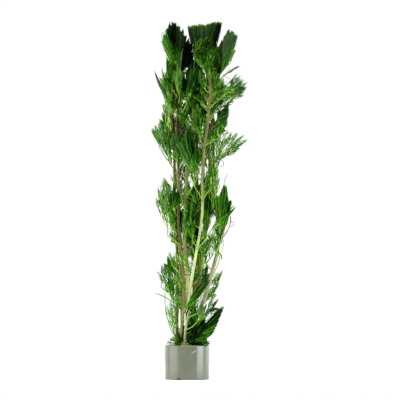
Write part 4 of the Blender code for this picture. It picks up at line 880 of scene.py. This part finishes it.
# single strands that have come loose: thickness, tone (0 pale, 1 nearly black, the dark end partly painted
# shade), the stem and height that they spring from (none where a strand starts on a leaf) and their route
strays = {
    "tuft_hair_1": (0.13, 0.55, None, [(-13.2, -8.4, 215.4), (-15.2, -9.4, 215), (-15.9, -9.6, 212.6),
        (-14.8, -9.4, 210)]),
    "tuft_hair_2": (0.13, 0.55, None, [(-11.6, -6.4, 203), (-13.1, -7.4, 200.6), (-12.2, -7.4, 198),
        (-10, -6, 196)]),
    "tuft_hair_3": (0.12, 0.5, None, [(-13, -7.6, 207.6), (-14.6, -9, 205.8), (-14, -9, 203.6),
        (-11.8, -6.8, 202)]),
    "feather_hair_1": (0.12, 0.6, None, [(22.6, 1.8, 188.4), (25.4, 2.6, 191.2), (27.2, 2.8, 193.6)]),
    "feather_hair_2": (0.12, 0.6, None, [(22.6, 1.8, 188.4), (26.6, 2.4, 186.6), (27.8, 2.6, 184.6)]),
    "feather_hair_3": (0.12, 0.6, None, [(22.6, 1.8, 188.4), (25.4, 2, 190.2), (28.8, 1.8, 192.4)]),
    "curl": (0.17, 0.5, None, [(17, -4.4, 134.4), (19.4, -6, 136.4), (21.6, -6.4, 135.8), (22.8, -6.6, 134),
        (22, -6.6, 132.4), (20.6, -6.4, 132)]),
    "grey_hair": (0.12, 0.75, None, [(22.8, -10.4, 119.6), (23.4, -9.6, 124.2), (25.2, -9, 127.4)]),
    "right_loop": (0.12, 0.7, None, [(23.4, -9.4, 96), (27.4, -9.4, 98.2), (29, -9.6, 97.4),
        (28, -9.6, 95.2), (26.4, -9.4, 94.4)]),
    "dark_arc": (0.24, 0.92, None, [(25.6, -14, 104), (27, -12.6, 100), (26.7, -11.8, 96.4),
        (25.6, -11.6, 93.4)]),
    "dark_line": (0.26, 0.93, None, [(15.8, -12.6, 105.2), (17.2, -12.8, 102.4), (19.6, -14, 98.6)]),
    "dark_v_left": (0.24, 0.93, None, [(17, -14, 94.4), (19.6, -12.6, 90), (21, -12.8, 87.8),
        (21.2, -12.6, 83.6)]),
    "dark_v_right": (0.24, 0.9, None, [(25.7, -11.6, 93.8), (23.6, -12.4, 90), (21.1, -12.8, 87.6)]),
    "pale_line": (0.16, 0.2, None, [(21.2, -7.4, 88), (22.8, -8.4, 85.6), (22.2, -8.6, 82),
        (21.4, -8.8, 78.4)]),
    "green_stub": (0.45, 0.42, ("stem_right", 79.4), [(21.2, -7.6, 77), (21.4, -8, 74.6)]),
    "long_strand_1": (0.22, 0.45, ("stem_right", 78.4), [(20.2, -8, 75.4), (18.6, -8.8, 70.4),
        (16.8, -9.4, 66.4), (15.8, -9.4, 63.6)]),
    "long_strand_2": (0.22, 0.42, ("stem_front", 45), [(8, -12, 48), (11, -12, 52.4), (15.4, -11, 56.8),
        (18, -10.4, 60.6), (22, -9, 68)]),
    "dark_hook": (0.28, 0.9, None, [(11.6, -7.2, 41), (12.8, -10, 43.8), (14.6, -11.4, 42.6),
        (15, -11.4, 40.4), (13.6, -11.2, 38.8)]),
    "dark_sliver": (0.42, 0.88, ("stem_front", 48.5), [(1.2, -12, 45), (-0.4, -12, 40.6),
        (-0.6, -11.6, 37.6)]),
    "left_strand": (0.26, 0.5, ("stem_inner_left", 45.5), [(-8.2, -8.6, 47.8), (-11, -9, 49.6),
        (-15, -9.6, 52), (-19.8, -10, 53.8)]),
    "left_grey_arc": (0.13, 0.75, ("stem_inner_left", 79.5), [(-5.6, -9, 78.6), (-7.4, -9.6, 77),
        (-8.2, -9.8, 74.2)]),
    "low_strand_1": (0.22, 0.4, ("stem_left", 26), [(-9.4, -8, 30), (-12, -9, 38), (-13.6, -9.4, 48),
        (-13.4, -9.6, 58)]),
    "low_strand_2": (0.2, 0.42, ("stem_left", 24), [(-8, -8, 28), (-9.6, -9, 33), (-12.4, -9.4, 39),
        (-13.8, -9.4, 44)]),
    "low_strand_3": (0.22, 0.45, ("stem_inner_left", 43), [(-6.4, -9.6, 46), (-9, -10.6, 54),
        (-10.4, -11, 62), (-13.4, -11.2, 70)]),
    "low_strand_4": (0.22, 0.45, ("stem_right", 27), [(10, -8, 31), (12, -9, 40), (15, -9.6, 49),
        (17.6, -9.6, 58)]),
    "low_strand_5": (0.22, 0.4, ("stem_front", 28), [(5, -12, 32), (8.6, -12, 37), (12.6, -12.6, 42),
        (15, -12.6, 46)]),
    "front_stalk": (0.33, 0.25, ("stem_inner_left", 36), [(-2, -10.6, 37.4), (2.4, -13.6, 39.4),
        (5.6, -14, 41), (8.2, -14, 42.6)]),
    "rim_curl": (0.14, 0.15, ("stem_right", 22), [(9.4, -7.4, 22.4), (11.6, -8.6, 22.4), (13, -8, 23.8),
        (14.4, -7.4, 23.4), (14.6, -7, 22)]),
    "rim_hair": (0.12, 0.75, ("stem_left", 22), [(-9, -7.4, 22), (-11.4, -8.2, 22.4), (-13.2, -7.6, 22.8)]),
    "rim_scrap": (0.3, 0.3, ("stem_left", 22), [(-7, -8.8, 22), (-9.4, -8.6, 21.8), (-11.6, -7.4, 21.7)]),
}
strayShape = {"sides": 4, "step": 0.9, "tipShare": 0.3, "rootShare": 0.4}


def growStrays():
    chains = []
    for thickness, age, root, route in strays.values():
        if root:
            route = [pointAtHeight(stemRoutes[root[0]], root[1])] + route
        path = np.array(smoothRoute(route, strayShape["step"]))
        at = np.linspace(0, 1, len(path))
        radius = thickness * np.clip(4 * at + strayShape["rootShare"], 0, 1)
        chains.append({
            "points": path, "radius": radius * np.clip(4 * (1 - at) + strayShape["tipShare"], 0, 1),
            "sides": strayShape["sides"], "age": age + 0 * at, "facing": np.array([0.1, 1.0, 0.2]),
            "bloom": 0 * at, "rim": 0 * at, "brown": 0 * at,
        })
    finishPiece(tubeMesh("loose_strands", chains), leafMaterial)


growStrays()

# smaller leaves between the measured ones: one every few millimetres up each stem, turning round it
spare = {
    "first": 26.0, "last": 6, "turn": 137.5, "turnSpread": 15, "stemTurn": 50, "stalk": (2.0, 5.0),
    "length": (12.0, 19.0), "rise": (52, 74), "spread": (20, 32), "twist": 0.5, "tips": 6,
    "shrinks": (1.0, 0.8, 0.65), "heights": (30, 90, 120, 165), "gaps": (11.0, 9.0, 6.5, 3.6),
    "tonesAndShade": (0.35, 0.43, 0.52, 0.66), "fills": (1.2, 1.4, 1.7, 1.9), "clearFront": 190.0, "slab": 8.0,
    "inset": 0.8, "depthLimit": 15.0, "topLimit": 214, "frontMost": 0.2, "stalkOut": 0.8, "stalkUp": 0.6,
    "toneAndShadeSpread": (-0.14, 0.16), "gapSpread": (0.8, 1.2), "rounding": 0.2, "tipSpread": (0.9, 1.05),
    "looks": {"kind": "net", "lock": 0.8, "baseToneAndShade": 0.34, "strand": 0.28, "ragged": 0.25},
}


def measureBunch():
    # the leftmost and rightmost leaf points of the CAD solids in each slab of height
    reach = {}
    for name in leaves:
        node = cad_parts[name]
        for vertex in node.data.vertices:
            x, y, z = node.matrix_world @ vertex.co / mm
            slab = int(z // spare["slab"])
            low, high = reach.get(slab, (0.0, 0.0))
            reach[slab] = (min(low, x), max(high, x))
    return reach


bunch = measureBunch()


def insideBunch(points):
    for x, y, z in points:
        low, high = bunch.get(int(z // spare["slab"]), (-10.0, 10.0))
        within = low + spare["inset"] < x < high - spare["inset"]
        if not within or abs(y) > spare["depthLimit"] or z > spare["topLimit"]:
            return False
    return True


def growSpareLeaves(name, number):
    rng = np.random.default_rng(spareSeed + number)
    route = stemRoutes[name]
    chains = []
    turn = number * spare["stemTurn"]
    height = spare["first"] + rng.uniform(0, spare["gaps"][0])
    while height < stems[name]["route"][-1][2] - spare["last"]:
        turn += spare["turn"] + rng.uniform(-spare["turnSpread"], spare["turnSpread"])
        root = pointAtHeight(route, height)
        length = rng.uniform(*spare["length"])
        rise = math.radians(rng.uniform(*spare["rise"]))
        spread = math.radians(rng.uniform(*spare["spread"]))
        stalkLength = rng.uniform(*spare["stalk"])
        if height < spare["clearFront"] and math.cos(math.radians(turn)) > spare["frontMost"]:
            turn += 180  # to the far side, so that the stem stays in view
        away = math.radians(turn)
        outward = np.array([math.sin(away), -math.cos(away), 0.0])
        sideways = np.array([math.cos(away), math.sin(away), 0.0])
        forward = outward * math.cos(rise) + np.array([0, 0, math.sin(rise)])
        lean = np.cross(forward, sideways) * math.sin(spare["twist"]) * rng.uniform(-1, 1)
        sideways = sideways * math.cos(spare["twist"]) + lean
        sideways /= np.linalg.norm(sideways)
        base = np.array(root) + outward * stalkLength * spare["stalkOut"]
        base = base + np.array([0, 0, stalkLength * spare["stalkUp"]])
        age = np.interp(height, spare["heights"], spare["tonesAndShade"]) + rng.uniform(*spare["toneAndShadeSpread"])
        fill = np.interp(height, spare["heights"], spare["fills"])
        height += rng.uniform(*spare["gapSpread"]) * np.interp(height, spare["heights"], spare["gaps"])
        for shrink in spare["shrinks"]:
            tips = []
            for k in range(spare["tips"]):
                bend = spread * (2 * k / (spare["tips"] - 1) - 1)
                long = length * shrink * (1 - spare["rounding"] * (bend / spread) ** 2)
                long *= rng.uniform(*spare["tipSpread"])
                tips.append(tuple(base + long * (forward * math.cos(bend) + sideways * math.sin(bend))))
            if insideBunch(tips):
                growStalk(root, [Vector(base)], chains)
                growBlade({**spare["looks"], "fill": fill, "tonesAndShade": [age]}, tuple(base), tips, rng, chains)
                break
    finishPiece(tubeMesh(name + "_small_leaves", chains), leafMaterial)


for number, stemName in enumerate(stems):
    growSpareLeaves(stemName, number)
print("small leaves done")

ring = {
    "topRadius": 13.6, "footRadius": 13.8, "boreRadius": 10.9, "height": 21.4, "rimRound": 0.5, "rimSteps": 4,
    "sides": 144, "rows": 16, "chipCentre": (-5.6, -14.2, 0.0), "chipRadius": 2.1, "chipRough": 0.22,
    "chipGrain": 0.9, "chipSteps": 4, "chipReach": 1.2, "edge": 0.05, "smooth": 35,
}
glaze = {
    "clouds": [(0.3, "#606455"), (0.7, "#6a6f60")], "cloudSize": 9, "grit": 0.45, "runs": (900, 900, 60),
    # colour, which pattern it follows, from and to which value of it, strength
    "flecks": [("#54584b", "grit", 0.56, 0.72, 0.4), ("#8d9384", "grit", 0.44, 0.3, 0.35),
        ("#5f6455", "veins", 0.5, 0.8, 0.25)],
    # centre, half sizes, lean, colour, strength: a scuff painted pale as the glint it catches, two specks,
    # and a painted yellow-green highlight along the front of the top edge
    # the first mark is a real scuff whose pale colour is its painted glint
    "marks": [((4.2, -13.2, 17.4), (0.3, 3, 2.0), 55, "#b4bcae", 0.6),
        ((10.5, -8.9, 11.3), (0.35, 3, 0.5), -20, "#3a4034", 0.8),
        ((6.2, -12.2, 9.1), (0.3, 3, 0.35), 0, "#4a5044", 0.6),
        # a painted yellow-green highlight along the front of the top edge
        ((2.4, -13.4, 21.3), (8.6, 3.4, 0.45), 0, "#8a9440", 0.8)],
    "bump": 0.25, "bumpDepth": 0.05, "roughness": 0.16, "ior": 1.52,
}


def markShare(tree, place, centre, size, lean, strength):
    # strength inside a soft-edged oval on the ring's front, 0 outside; lean turns it to the right
    turned = addNode(tree, "Mapping", {
        "Vector": place, "Location": [value * mm for value in centre], "Rotation": (0, math.radians(lean), 0),
        "Scale": [value * mm for value in size]}, vector_type="TEXTURE")
    far = addNode(tree, "VectorMath", {0: turned}, "Value", operation="LENGTH")
    spot = addNode(tree, "MapRange", {"Value": far, "From Min": 1.2, "From Max": 0.7})
    return addNode(tree, "Math", {0: spot, 1: strength}, operation="MULTIPLY")


def makeGlaze():
    # pale grey-green stoneware glaze: glossy, with fine grit, faint runs, a scuff painted pale as its glint
    # and a painted highlight along the top edge; real grit is finer than this, which is as coarse as it
    # needs to show
    material, tree, shader = startMaterial("grey-green stoneware glaze")
    place = addNode(tree, "TexCoord", out="Object")
    runs = addNode(tree, "Mapping", {"Vector": place, "Scale": glaze["runs"]})
    grit = addNode(tree, "TexNoise", {"Vector": place, "Scale": 1 / (glaze["grit"] * mm), "Detail": 2.0})
    veins = addNode(tree, "TexNoise", {"Vector": runs, "Scale": 1.0, "Detail": 2.0})
    pattern = {"grit": grit, "veins": veins}
    clouds = addNode(tree, "TexNoise", {"Vector": place, "Scale": 1 / (glaze["cloudSize"] * mm)})
    body = addNode(tree, "ValToRGB", {"Fac": clouds}, stops=glaze["clouds"])
    layers = [(addNode(tree, "MapRange", {"Value": pattern[name], "From Min": low, "From Max": high,
                                          "To Max": strength}), code)
              for code, name, low, high, strength in glaze["flecks"]]
    layers += [(markShare(tree, place, centre, size, lean, strength), code)
               for centre, size, lean, code, strength in glaze["marks"]]
    bump = addNode(tree, "Bump", {"Height": grit, "Strength": glaze["bump"],
                                  "Distance": glaze["bumpDepth"] * mm})
    setInputs(tree, shader, {"Base Color": layColours(tree, body, layers), "Normal": bump,
                             "Roughness": glaze["roughness"], "IOR": glaze["ior"]})
    return material


clay = {"grain": 0.5, "colours": [(0.4, "#24121a"), (0.62, "#7a3a26")], "roughness": 0.9}


def makeClay():
    # bare fired clay in the chip: rough, dark brown with reddish grains
    material, tree, shader = startMaterial("bare fired clay")
    place = addNode(tree, "TexCoord", out="Object")
    grains = addNode(tree, "TexNoise", {"Vector": place, "Scale": 1 / (clay["grain"] * mm), "Detail": 3.0})
    setInputs(tree, shader, {"Base Color": addNode(tree, "ValToRGB", {"Fac": grains}, stops=clay["colours"]),
                             "Roughness": clay["roughness"]})
    return material


def addCylinder(name, sides, radius, height):
    # a closed cylinder that stands on the floor, left in edit mode
    bpy.ops.object.select_all(action="DESELECT")
    bpy.ops.mesh.primitive_cylinder_add(vertices=sides, radius=radius * mm, depth=height * mm,
                                        location=(0, 0, height / 2 * mm))
    piece = bpy.context.object
    piece.name = name
    bpy.ops.object.transform_apply(location=True, rotation=True, scale=True)
    bpy.ops.object.mode_set(mode="EDIT")
    bpy.ops.mesh.select_mode(type="FACE")
    return piece


def selectFaces(piece, test):
    bpy.ops.object.mode_set(mode="OBJECT")
    for face in piece.data.polygons:
        face.select = test(face)
    bpy.ops.object.mode_set(mode="EDIT")


def makeRing():
    # a cylinder opened by an inset and a bridge, with rounded rims and a chip broken out of its foot
    piece = addCylinder("glazed_ring", ring["sides"], ring["footRadius"], ring["height"])
    selectFaces(piece, lambda face: abs(face.normal.z) > 0.9)
    bpy.ops.mesh.inset(thickness=(ring["footRadius"] - ring["boreRadius"]) * mm)
    bpy.ops.mesh.delete(type="FACE")
    bpy.ops.mesh.select_all(action="DESELECT")
    bpy.ops.mesh.select_mode(type="EDGE")
    bpy.ops.mesh.select_non_manifold()
    bpy.ops.mesh.bridge_edge_loops()
    bpy.ops.mesh.select_all(action="SELECT")
    bpy.ops.mesh.normals_make_consistent(inside=False)
    bpy.ops.mesh.select_all(action="DESELECT")
    bpy.ops.object.mode_set(mode="OBJECT")
    for edge in piece.data.edges:
        low, high = (piece.data.vertices[i].co for i in edge.vertices)
        edge.select = abs(low.z - high.z) > 0.5 * ring["height"] * mm
    bpy.ops.object.mode_set(mode="EDIT")
    bpy.ops.mesh.subdivide(number_cuts=ring["rows"] - 1)  # rows keep the rims' rounding out of the wall
    bpy.ops.object.mode_set(mode="OBJECT")
    narrow = 1 - ring["topRadius"] / ring["footRadius"]
    for vertex in piece.data.vertices:
        if vertex.co.xy.length > (ring["boreRadius"] + 1) * mm:
            vertex.co.xy *= 1 - narrow * vertex.co.z / (ring["height"] * mm)
    bevel = piece.modifiers.new("rims", "BEVEL")
    bevel.width = ring["rimRound"] * mm
    bevel.segments = ring["rimSteps"]
    bevel.limit_method = "ANGLE"
    bpy.ops.object.modifier_apply(modifier=bevel.name)

    bpy.ops.object.select_all(action="DESELECT")
    centre = Vector(ring["chipCentre"]) * mm
    bpy.ops.mesh.primitive_ico_sphere_add(subdivisions=ring["chipSteps"], radius=ring["chipRadius"] * mm,
                                          location=centre)
    cutter = bpy.context.object
    bpy.ops.object.transform_apply(location=True, rotation=True, scale=True)
    for vertex in cutter.data.vertices:
        rough = noise.noise(vertex.co / (ring["chipGrain"] * mm))
        vertex.co += (vertex.co - centre) * ring["chipRough"] * rough
    cut = piece.modifiers.new("chip", "BOOLEAN")
    cut.operation = "DIFFERENCE"
    cut.solver = "EXACT"
    cut.object = cutter
    bpy.context.view_layer.objects.active = piece
    bpy.ops.object.modifier_apply(modifier=cut.name)
    bpy.data.objects.remove(cutter)
    piece.data.materials.clear()
    piece.data.materials.append(makeGlaze())
    piece.data.materials.append(makeClay())
    outer, above = (ring["footRadius"] - ring["edge"]) * mm, ring["edge"] * mm
    for face in piece.data.polygons:
        near = (face.center - centre).length < ring["chipRadius"] * ring["chipReach"] * mm
        face.material_index = 1 if near and above < face.center.z and face.center.xy.length < outer else 0
    selectOnly(piece)
    bpy.ops.object.shade_smooth_by_angle(angle=math.radians(ring["smooth"]))
    finishPiece(piece, None, "ceramic_ring")


makeRing()
print("ring done")

foam = {
    "radius": 10.6, "height": 18.5, "sides": 96, "rows": 12, "sink": 0.35, "dent": 0.7, "lumps": (1.7, 0.35),
    "crumbs": (0.6, 0.2), "pore": 0.9, "colours": [(0.1, "#2c2e2b"), (0.55, "#6d706a")], "roughness": 0.95,
    "bump": 0.8, "bumpDepth": 0.5, "smooth": 50, "edge": 0.1,
}


def makeFoamMaterial():
    # open-cell plant foam: matt dark grey, pitted with small pores
    material, tree, shader = startMaterial("open-cell grey foam")
    place = addNode(tree, "TexCoord", out="Object")
    pores = addNode(tree, "TexVoronoi", {"Vector": place, "Scale": 1 / (foam["pore"] * mm)})
    grey = addNode(tree, "ValToRGB", {"Fac": pores}, stops=foam["colours"])
    bump = addNode(tree, "Bump", {"Height": pores, "Strength": foam["bump"],
                                  "Distance": foam["bumpDepth"] * mm})
    setInputs(tree, shader, {"Base Color": grey, "Normal": bump, "Roughness": foam["roughness"]})
    return material


def makeFoam():
    # a cylinder whose top is cut into rows by insets, then crumpled and dented where the stems go in
    piece = addCylinder("foam_filling", foam["sides"], foam["radius"], foam["height"])
    selectFaces(piece, lambda face: face.normal.z > 0.9)
    for row in range(foam["rows"]):
        bpy.ops.mesh.inset(thickness=foam["radius"] / (foam["rows"] + 1.5) * mm)
    bpy.ops.object.mode_set(mode="OBJECT")
    for vertex in piece.data.vertices:
        if vertex.co.z < (foam["height"] - foam["edge"]) * mm:
            continue
        at = vertex.co / mm
        dent = 0.0
        for stem in stems.values():
            away = math.hypot(at.x - stem["route"][0][0], at.y - stem["route"][0][1]) - stem["foot"]
            dent += foam["dent"] * math.exp(-max(away, 0) ** 2)
        crumple = sum(noise.noise(at / size) * height for size, height in (foam["lumps"], foam["crumbs"]))
        vertex.co.z -= (foam["sink"] + dent + crumple) * mm
    bpy.ops.object.shade_smooth_by_angle(angle=math.radians(foam["smooth"]))
    finishPiece(piece, makeFoamMaterial(), "foam_plug")


makeFoam()
print("foam done")

studio = {
    "white": "#ffffff", "worldFront": 0.35, "worldBack": 0.9, "floorSize": 0.5, "floorGlow": 0.35,
    "lights": [
        # degrees right of the camera seen from above, elevation, distance, width, height, radiance, colour
        ("left softbox", -75, 8, 0.9, 0.80, 0.8, 3.6, "#ffffff"),
        ("right strip", 73, -4, 0.9, 0.62, 0.34, 8.0, "#f2fffb"),
        ("right rear", 122, 4, 0.9, 1.0, 0.6, 1.5, "#f2fff4"),
        ("left rear", -126, 6, 0.9, 0.95, 0.7, 0.5, "#ffffff"),
        ("high key", -15, 48, 1.2, 0.8, 0.6, 5.0, "#ffffff"),
    ],
    "lightsMiddle": (0, 0, 0.09), "lens": 400, "sensor": 36, "sight": 20, "camera": (0.00806, -2.76, 0.1114),
}


def setWorld(scene):
    # soft white all round, dimmer at the front; the camera sees it plain white
    world = bpy.data.worlds.new("soft white studio")
    scene.world = world
    world.use_nodes = True
    tree = world.node_tree
    tree.nodes.clear()
    way = addNode(tree, "TexCoord", out="Generated")
    front = addNode(tree, "SeparateXYZ", {0: way}, "Y")
    level = addNode(tree, "MapRange", {"Value": front, "From Min": -1.0, "From Max": 1.0,
                                       "To Min": studio["worldFront"], "To Max": studio["worldBack"]})
    seen = addNode(tree, "LightPath", out="Is Camera Ray")
    strength = addNode(tree, "Mix", {0: seen, 2: level, 3: 1.0})
    shade = addNode(tree, "Background", {"Color": linearColour(studio["white"]), "Strength": strength})
    setInputs(tree, tree.nodes.new("ShaderNodeOutputWorld"), {"Surface": shade})


def setLights():
    for name, turn, rise, away, width, height, radiance, colour in studio["lights"]:
        lamp = bpy.data.lights.new(name, "AREA")
        lamp.shape = "RECTANGLE"
        lamp.size = width
        lamp.size_y = height
        lamp.energy = radiance * math.pi * width * height
        lamp.color = linearColour(colour)[:3]
        thing = addToScene(name, lamp)
        turn, rise = math.radians(turn), math.radians(rise)
        way = Vector((math.sin(turn) * math.cos(rise), -math.cos(turn) * math.cos(rise), math.sin(rise)))
        thing.location = Vector(studio["lightsMiddle"]) + way * away
        thing.rotation_euler = way.to_track_quat("Z", "Y").to_euler()
        thing.visible_camera = False


def setFloor():
    bpy.ops.object.select_all(action="DESELECT")
    bpy.ops.mesh.primitive_plane_add(size=studio["floorSize"], location=(0, 0, 0))
    floor = bpy.context.object
    floor.name = "floor"
    material, tree, shader = startMaterial("matt white paper")
    white = linearColour(studio["white"])
    setInputs(tree, shader, {"Base Color": white, "Roughness": 0.9, "Emission Color": white,
                             "Emission Strength": studio["floorGlow"]})
    floor.data.materials.append(material)


def setCamera(scene):
    camera = bpy.data.cameras.new("long lens")
    camera.lens = studio["lens"]
    camera.sensor_width = studio["sensor"]
    camera.clip_end = studio["sight"]
    thing = addToScene("long lens", camera)
    thing.location = studio["camera"]
    thing.rotation_euler = (math.radians(90), 0, 0)
    scene.camera = thing


def setStudio():
    scene = bpy.context.scene
    scene.view_settings.view_transform = "Standard"
    scene.view_settings.look = "None"
    setWorld(scene)
    setLights()
    setFloor()
    setCamera(scene)


setStudio()
print("studio done")
